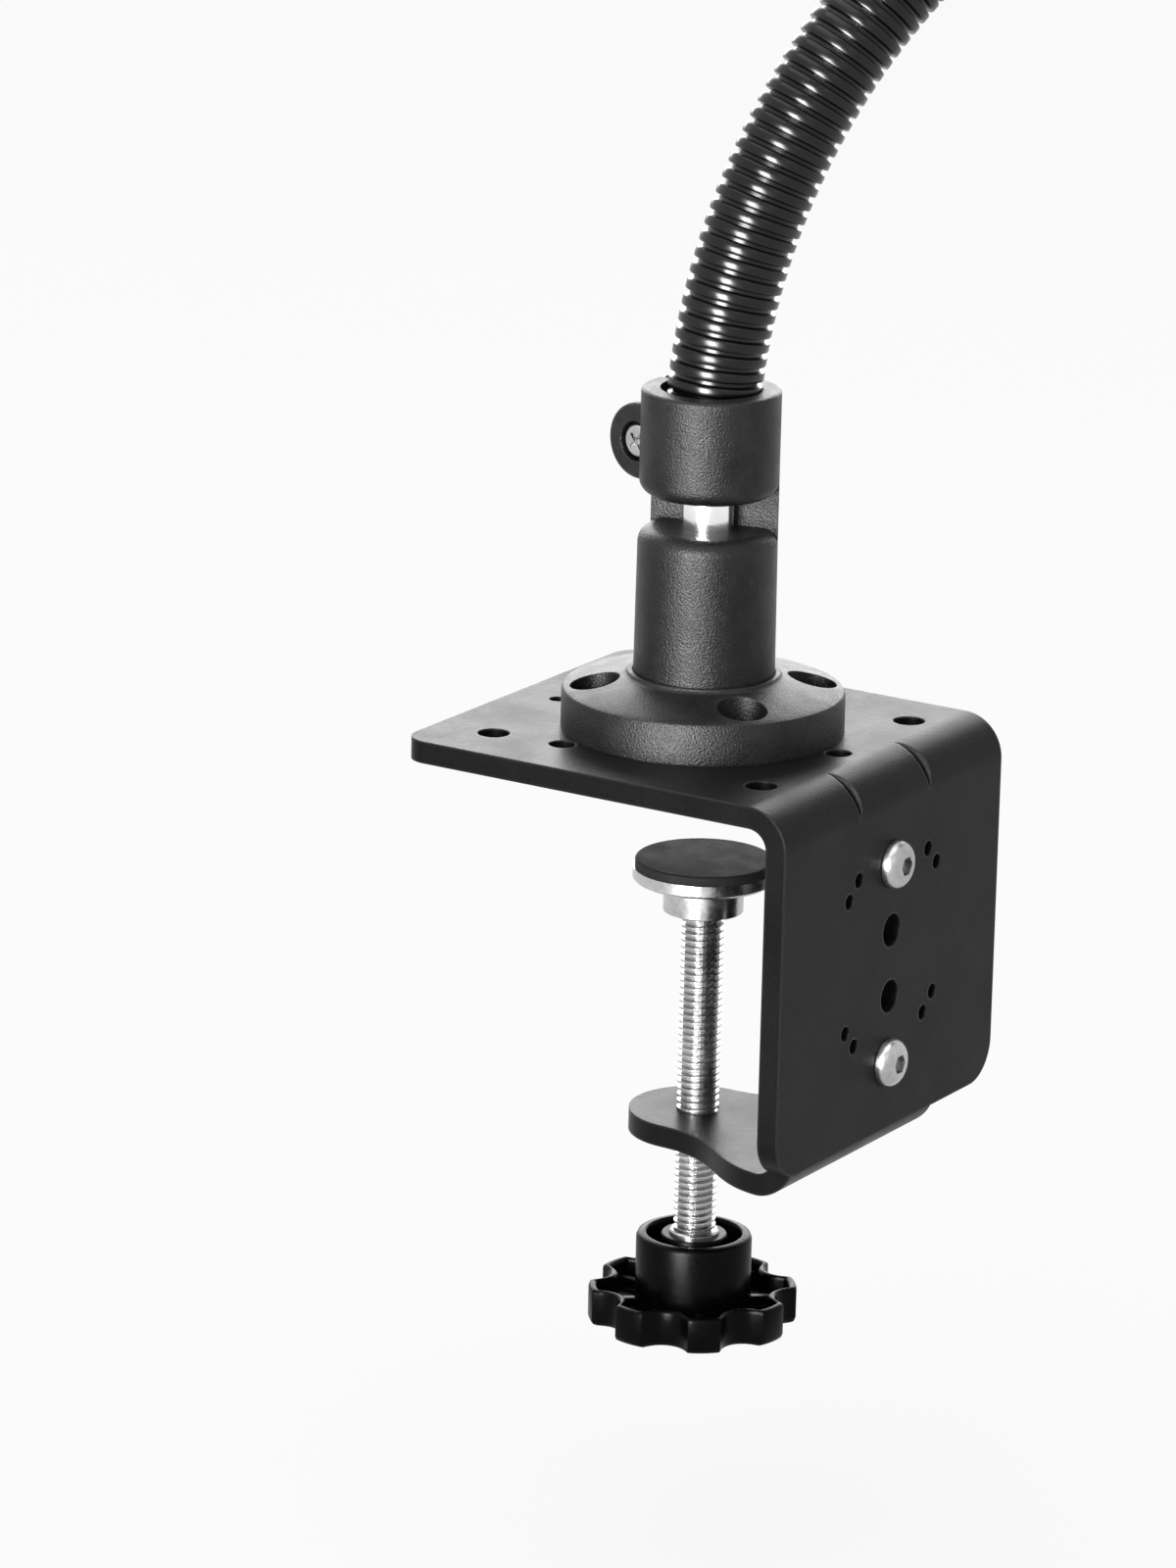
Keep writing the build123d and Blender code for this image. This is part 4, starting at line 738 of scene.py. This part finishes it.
# %% The knob's profile
RIM_LOW = -0.1343
RIM_TOP = -0.1258
RIM_WALL = 0.0019
RIM_ARC = ((0.0, 0.45), (0.13, 0.13), (0.40, 0.0), (0.60, 0.0), (0.87, 0.13), (1.0, 0.45))
RIM_FLOOR = -0.1313
HUB_R = 0.0131
HUB_TOP = -0.1133
WELL_R = 0.01065
WELL_FLOOR = -0.1203
BOSS_R = 0.0076
BOSS_TOP = -0.1135
BORE_R = 0.0056
BORE_FLOOR = -0.1255
ROUND = 0.0012
SOFT = ROUND * ARC_SHARE

knob_rings = [
    (lobed_rim, ROUND, RIM_LOW),
    (lobed_rim, SOFT, RIM_LOW + SOFT),
    (lobed_rim, 0.0, RIM_LOW + ROUND),
]
for inward, down in RIM_ARC:
    knob_rings.append((lobed_rim, RIM_WALL * inward, RIM_TOP - RIM_WALL * down))
knob_rings += [
    (lobed_rim, RIM_WALL, RIM_FLOOR),
    (circle, HUB_R, RIM_FLOOR),
    (circle, HUB_R, HUB_TOP - ROUND),
    (circle, HUB_R - SOFT, HUB_TOP - SOFT),
    (circle, HUB_R - ROUND, HUB_TOP),
    (circle, WELL_R + SOFT, HUB_TOP),
    (circle, WELL_R, HUB_TOP - ROUND / 2),
    (circle, WELL_R, WELL_FLOOR),
    (circle, BOSS_R, WELL_FLOOR),
    (circle, BOSS_R, BOSS_TOP - ROUND / 2),
    (circle, BOSS_R - SOFT, BOSS_TOP),
    (circle, BORE_R, BOSS_TOP),
    (circle, BORE_R, BORE_FLOOR),
]
print("knob rings", len(knob_rings))

# %% [markdown]
# The same few steps serve the knob, the bolts and the flange: a ring of points is laid on the
# first outline, and its edges are extruded to each of the next ones. A spin would be shorter,
# but it could not pass from lobes to a circle, or from a circle to a hexagon.

# %% Extruding the knob's rings
KNOB_STEPS = 160


def lay_ring(ring, outline, size, height):
    """Moves a ring of points to an outline of some size at some height."""
    for corner in ring:
        angle = math.atan2(corner.co.y, corner.co.x)
        reach = outline(angle, size)
        corner.co = (reach * math.cos(angle), reach * math.sin(angle), height)


def edges_among(items, ring):
    """The edges in a list of geometry that join two points of a ring."""
    inside = set(ring)
    edges = [item for item in items if isinstance(item, bmesh.types.BMEdge)]
    return [edge for edge in edges if inside.issuperset(edge.verts)]


def extrude_rings(bm, rings, steps, capped=True):
    """Extrudes a circle of points through a list of rings and returns all its points."""
    first = bmesh.ops.create_circle(bm, cap_ends=capped, radius=rings[0][1], segments=steps)
    ring = first["verts"]
    edges = edges_among(bm.edges, ring)
    lay_ring(ring, *rings[0])
    points = list(ring)
    for place in rings[1:]:
        made = bmesh.ops.extrude_edge_only(bm, edges=edges)["geom"]
        ring = [item for item in made if isinstance(item, bmesh.types.BMVert)]
        edges = edges_among(made, ring)
        lay_ring(ring, *place)
        points += ring
    if capped:
        bmesh.ops.holes_fill(bm, edges=edges, sides=0)
    return points


knob_bm = bmesh.new()
points = extrude_rings(knob_bm, knob_rings, KNOB_STEPS)
print("knob points", len(points))

# %% [markdown]
# Eight ribs cross the hollow. They could be extruded from its floor, but they would have to
# cut across its rings. Each is a block instead, sunk a little into the hub and the floor, and
# halfway into the rim's wall.

# %% Ribs and hand knob
KNOB_TURN = math.radians(-6.8)
KNOB_SHARP = 50
RIB_WIDTH = 0.0016
RIB_TOP = -0.1288
SUNK_IN_HUB = 0.001
SUNK_IN_FLOOR = 0.0005

rib_length = RIM_R - RIM_WALL / 2 - HUB_R + SUNK_IN_HUB
rib_low = RIM_FLOOR - SUNK_IN_FLOOR
rib_middle = (HUB_R - SUNK_IN_HUB + rib_length / 2, 0, (RIB_TOP + rib_low) / 2)
for index in range(KNOB_LOBES):
    rib = bmesh.ops.create_cube(knob_bm, size=1.0)["verts"]
    size = Matrix.Diagonal((rib_length, RIB_WIDTH, RIB_TOP - rib_low, 1))
    turn = Matrix.Rotation(index * math.tau / KNOB_LOBES, 4, "Z")
    bmesh.ops.transform(knob_bm, matrix=turn @ Matrix.Translation(rib_middle) @ size, verts=rib)
turn = Matrix.Translation(SCREW_PLACE) @ Matrix.Rotation(KNOB_TURN, 4, "Z")
bmesh.ops.transform(knob_bm, matrix=turn, verts=knob_bm.verts)
bmesh.ops.recalc_face_normals(knob_bm, faces=knob_bm.faces)
shade(knob_bm, KNOB_SHARP)
knob = finished_piece("moulded_knob", knob_bm, "knob_plastic")
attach(knob, "spindle")
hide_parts("hand_knob")
print("knob faces", len(knob.data.polygons))

# %% [markdown]
# The two bolts in the front plate have button heads: a low dome with a narrow upright edge and a
# six-sided socket. The measured solid has the same height and width with nearly straight flanks,
# which shine as flat cones. The dome could be the measured solid with smoothed normals, but its
# outline would stay straight. So each bolt is extruded ring by ring from its tip, the dome's
# rings follow a quarter of an ellipse, and the socket's two rings lie on a hexagon.

# %% The bolt's profile
BOLT_HEAD_R = 0.00555
BOLT_HEAD_HIGH = 0.00335
BOLT_EDGE = 0.0006
BOLT_FLAT_R = 0.0027
BOLT_SHANK_R = 0.003175
BOLT_BREAK = 0.0003
DOME_RINGS = 8
SOCKET_FLAT = 0.00397 / 2
SOCKET_DEEP = 0.0020
SIXTH = math.pi / 3


def hexagon(angle, flat):
    """The reach of a hexagon with a given distance from its centre to a flat."""
    return flat / math.cos(angle % SIXTH - SIXTH / 2)


bolt_low, bolt_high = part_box("bracket_screws")
front_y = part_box("bent_plate")[0].y
bolt_tip = front_y - bolt_high.y
bolt_rings = [
    (circle, BOLT_SHANK_R - BOLT_BREAK, bolt_tip),
    (circle, BOLT_SHANK_R, bolt_tip + BOLT_BREAK),
    (circle, BOLT_SHANK_R, 0.0),
    (circle, BOLT_HEAD_R - BOLT_BREAK / 2, 0.0),
    (circle, BOLT_HEAD_R, BOLT_BREAK / 2),
]
for index in range(DOME_RINGS + 1):
    swing = index / DOME_RINGS * math.pi / 2
    reach = BOLT_FLAT_R + (BOLT_HEAD_R - BOLT_FLAT_R) * math.cos(swing)
    rise = (BOLT_HEAD_HIGH - BOLT_EDGE) * math.sin(swing)
    bolt_rings.append((circle, reach, BOLT_EDGE + rise))
bolt_rings.append((hexagon, SOCKET_FLAT, BOLT_HEAD_HIGH))
bolt_rings.append((hexagon, SOCKET_FLAT, BOLT_HEAD_HIGH - SOCKET_DEEP))
print("bolt rings", len(bolt_rings), "shank", round(-bolt_tip, 4))

# %% [markdown]
# The two bolts are alike, so one profile serves both. A copy of the first could be moved, but
# then its place wouldn't be in its mesh. Each is made upright, laid on its side with the head
# outwards, and moved to where the measured pair has it.

# %% Button-head bolts
BOLT_STEPS = 48
BOLT_SHARP = 40

for index, bolt_z in enumerate((bolt_low.z + BOLT_HEAD_R, bolt_high.z - BOLT_HEAD_R)):
    bm = bmesh.new()
    extrude_rings(bm, bolt_rings, BOLT_STEPS)
    turn = Matrix.Translation((0, front_y, bolt_z)) @ Matrix.Rotation(math.pi / 2, 4, "X")
    bmesh.ops.transform(bm, matrix=turn, verts=bm.verts)
    bmesh.ops.recalc_face_normals(bm, faces=bm.faces)
    shade(bm, BOLT_SHARP, flat_caps=True)
    bolt = finished_piece("button_bolt_" + str(index + 1), bm, "zinc_steel")
    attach(bolt, "clamp")
    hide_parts("bracket_screws")
    print("bolt", index + 1, "at", round(bolt_z, 4), "faces", len(bolt.data.polygons))

# %% [markdown]
# The flange is moulded with a sloping top that sweeps up to the post, and four recesses for
# bolts. The standard 30.17 by 38.05 mm pattern fits their places in the photograph best. The
# measured solid has them on a square, up to 3 mm away, and its top rises in a step. It could be
# cut again from that solid, but the old recesses would stay. So the round body is extruded ring
# by ring from a new profile.

# %% The flange's profile
DISH_RINGS = 6
DISH_LOW = 0.0095
DISH_HIGH = 0.0121
SWEEP_R = 0.0187
RING_FLAT_R = 0.0170
SEAT_R = 0.0159
SEAT_FLOOR = 0.0030
SCREW_BORE_R = 0.0042
FLANGE_ROUND = 0.0014

flange_low, flange_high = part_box("flange_base")
flange_r = (flange_high.x - flange_low.x) / 2
flange_top = flange_high.z - flange_low.z
flange_soft = FLANGE_ROUND * ARC_SHARE
flange_rings = [
    (circle, SCREW_BORE_R, 0.0),
    (circle, flange_r, 0.0),
    (circle, flange_r, DISH_LOW - FLANGE_ROUND),
    (circle, flange_r - flange_soft, DISH_LOW - flange_soft),
    (circle, flange_r - FLANGE_ROUND, DISH_LOW),
]
for index in range(DISH_RINGS + 1):
    swing = index / DISH_RINGS * math.pi / 2
    reach = SWEEP_R - (SWEEP_R - RING_FLAT_R) * math.sin(swing)
    rise = (flange_top - DISH_HIGH) * (1 - math.cos(swing))
    flange_rings.append((circle, reach, DISH_HIGH + rise))
flange_rings += [
    (circle, SEAT_R, flange_top),
    (circle, SEAT_R, SEAT_FLOOR),
    (circle, SCREW_BORE_R, SEAT_FLOOR),
    (circle, SCREW_BORE_R, 0.0),
]
print("flange rings", len(flange_rings), "radius", round(flange_r, 4))

# %% [markdown]
# A recess crosses many faces of the flange, and modelling each crossing by hand would take long.
# So each recess is a closed, tapered cutter, and one exact boolean subtracts all four.

# %% Flange blank and cutter
FLANGE_STEPS = 128
PATTERN_X = 0.03017 / 2
PATTERN_Y = 0.03805 / 2
RECESS_R = 0.0056
RECESS_HOLE_R = 0.00275
RECESS_FLOOR = 0.0030
RECESS_FLOOR_R = 0.0045
RECESS_SHOULDER = 0.0100
RECESS_STEPS = 48

flange_place = Vector((0, 0, flange_low.z))
recess_rings = [
    (circle, RECESS_HOLE_R, -flange_top),
    (circle, RECESS_HOLE_R, RECESS_FLOOR),
    (circle, RECESS_FLOOR_R, RECESS_FLOOR),
    (circle, RECESS_R, RECESS_SHOULDER),
    (circle, RECESS_R, 2 * flange_top),
]
bm = bmesh.new()
points = extrude_rings(bm, flange_rings, FLANGE_STEPS, capped=False)
bmesh.ops.translate(bm, verts=points, vec=flange_place)
bmesh.ops.remove_doubles(bm, verts=bm.verts, dist=MERGE)
bmesh.ops.recalc_face_normals(bm, faces=bm.faces)
blank = linked_object("flange_blank", bm)
bm = bmesh.new()
for side_x, side_y in ((-1, -1), (1, -1), (-1, 1), (1, 1)):
    place = flange_place + Vector((side_x * PATTERN_X, side_y * PATTERN_Y, 0))
    points = extrude_rings(bm, recess_rings, RECESS_STEPS)
    bmesh.ops.translate(bm, verts=points, vec=place)
bmesh.ops.recalc_face_normals(bm, faces=bm.faces)
cutter = linked_object("recess_cutter", bm)
print("blank faces", len(blank.data.polygons), "cutter faces", len(cutter.data.polygons))

# %% [markdown]
# The boolean could stay a live modifier, but then its cutter would have to stay in the scene.
# So the result is read into a new mesh, and the blank and the cutter are removed.

# %% Flange with its recesses
FLANGE_SHARP = 30

cut = blank.modifiers.new("recesses", "BOOLEAN")
cut.operation = "DIFFERENCE"
cut.solver = "EXACT"
cut.object = cutter
bpy.context.view_layer.update()
shaped = blank.evaluated_get(bpy.context.evaluated_depsgraph_get())
bm = bmesh.new()
bm.from_mesh(shaped.to_mesh())
for item in (blank, cutter):
    data = item.data
    bpy.data.objects.remove(item)
    bpy.data.meshes.remove(data)
bmesh.ops.dissolve_degenerate(bm, edges=bm.edges, dist=MERGE)
open_edges = [edge for edge in bm.edges if len(edge.link_faces) != 2]
print("flange open edges", len(open_edges))
shade(bm, FLANGE_SHARP)
flange = finished_piece("moulded_flange", bm, "moulded_plastic")
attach(flange, "clamp")
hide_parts("flange_base")
print("flange faces", len(flange.data.polygons))

# %% [markdown]
# Two springs pull the cradle's jaw shut. When the jaw is drawn out, the stop on each rod comes
# up and the spring shortens. A real coil keeps its wire round while it shortens. Flattening the
# Here each spring keeps its shape and is parented to the cradle. Where each spring stands is
# read from the measured solid, whose points lie to both sides of the cradle's middle.

# %% Where the springs stand


def coil_axis(corners):
    """The middle of one coil, from the points of its measured solid."""
    alongs = [corner.dot(bend_dir) for corner in corners]
    acrosses = [corner.dot(hinge_dir) for corner in corners]
    along = (min(alongs) + max(alongs)) / 2
    across = (min(acrosses) + max(acrosses)) / 2
    return bend_dir * along + hinge_dir * across


spring_low, spring_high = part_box("return_springs")
middle = (spring_low + spring_high) / 2
corners = [corner.co for corner in nodes["return_springs"].data.vertices]
spring_places = [
    coil_axis([corner for corner in corners if (corner - middle).dot(hinge_dir) < 0]),
    coil_axis([corner for corner in corners if (corner - middle).dot(hinge_dir) >= 0]),
]
print("springs at", [(round(place.x, 4), round(place.y, 4)) for place in spring_places])

# %% [markdown]
# A coil could be a curve with a round bevel, but a mesh keeps its closed ends. So a small circle
# is spun round the rod while it climbs, and its last copy is filled.

# %% Return springs
WIRE_R = 0.0004
WIRE_STEPS = 8
COIL_R = 0.0034
COIL_TURNS = 10
COIL_STEPS = 24
NEVER_SHARP = 180

spring_span = spring_high.z - spring_low.z
step_rise = (spring_span - 2 * WIRE_R) / COIL_STEPS / COIL_TURNS
for index, place in enumerate(spring_places):
    bm = bmesh.new()
    wire = bmesh.ops.create_circle(bm, cap_ends=True, radius=WIRE_R, segments=WIRE_STEPS)["verts"]
    start = Matrix.Translation((COIL_R, 0, WIRE_R)) @ Matrix.Rotation(math.pi / 2, 4, "X")
    bmesh.ops.transform(bm, matrix=start, verts=wire)
    made = bmesh.ops.spin(
        bm, geom=wire + bm.edges[:], cent=(0, 0, 0), axis=(0, 0, 1), angle=math.tau * COIL_TURNS,
        steps=COIL_STEPS * COIL_TURNS, dvec=(0, 0, step_rise), use_merge=False)
    last = [item for item in made["geom_last"] if isinstance(item, bmesh.types.BMEdge)]
    bmesh.ops.holes_fill(bm, edges=last, sides=0)
    bmesh.ops.translate(bm, verts=bm.verts, vec=(place.x, place.y, spring_low.z))
    bmesh.ops.recalc_face_normals(bm, faces=bm.faces)
    shade(bm, NEVER_SHARP, flat_caps=True)
    spring = finished_piece("return_spring_" + str(index + 1), bm, "bright_steel")
    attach(spring, "cradle")
    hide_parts("return_springs")
    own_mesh(spring)
    print("spring", index + 1, "span", round(spring_span, 4), "faces", len(spring.data.polygons))
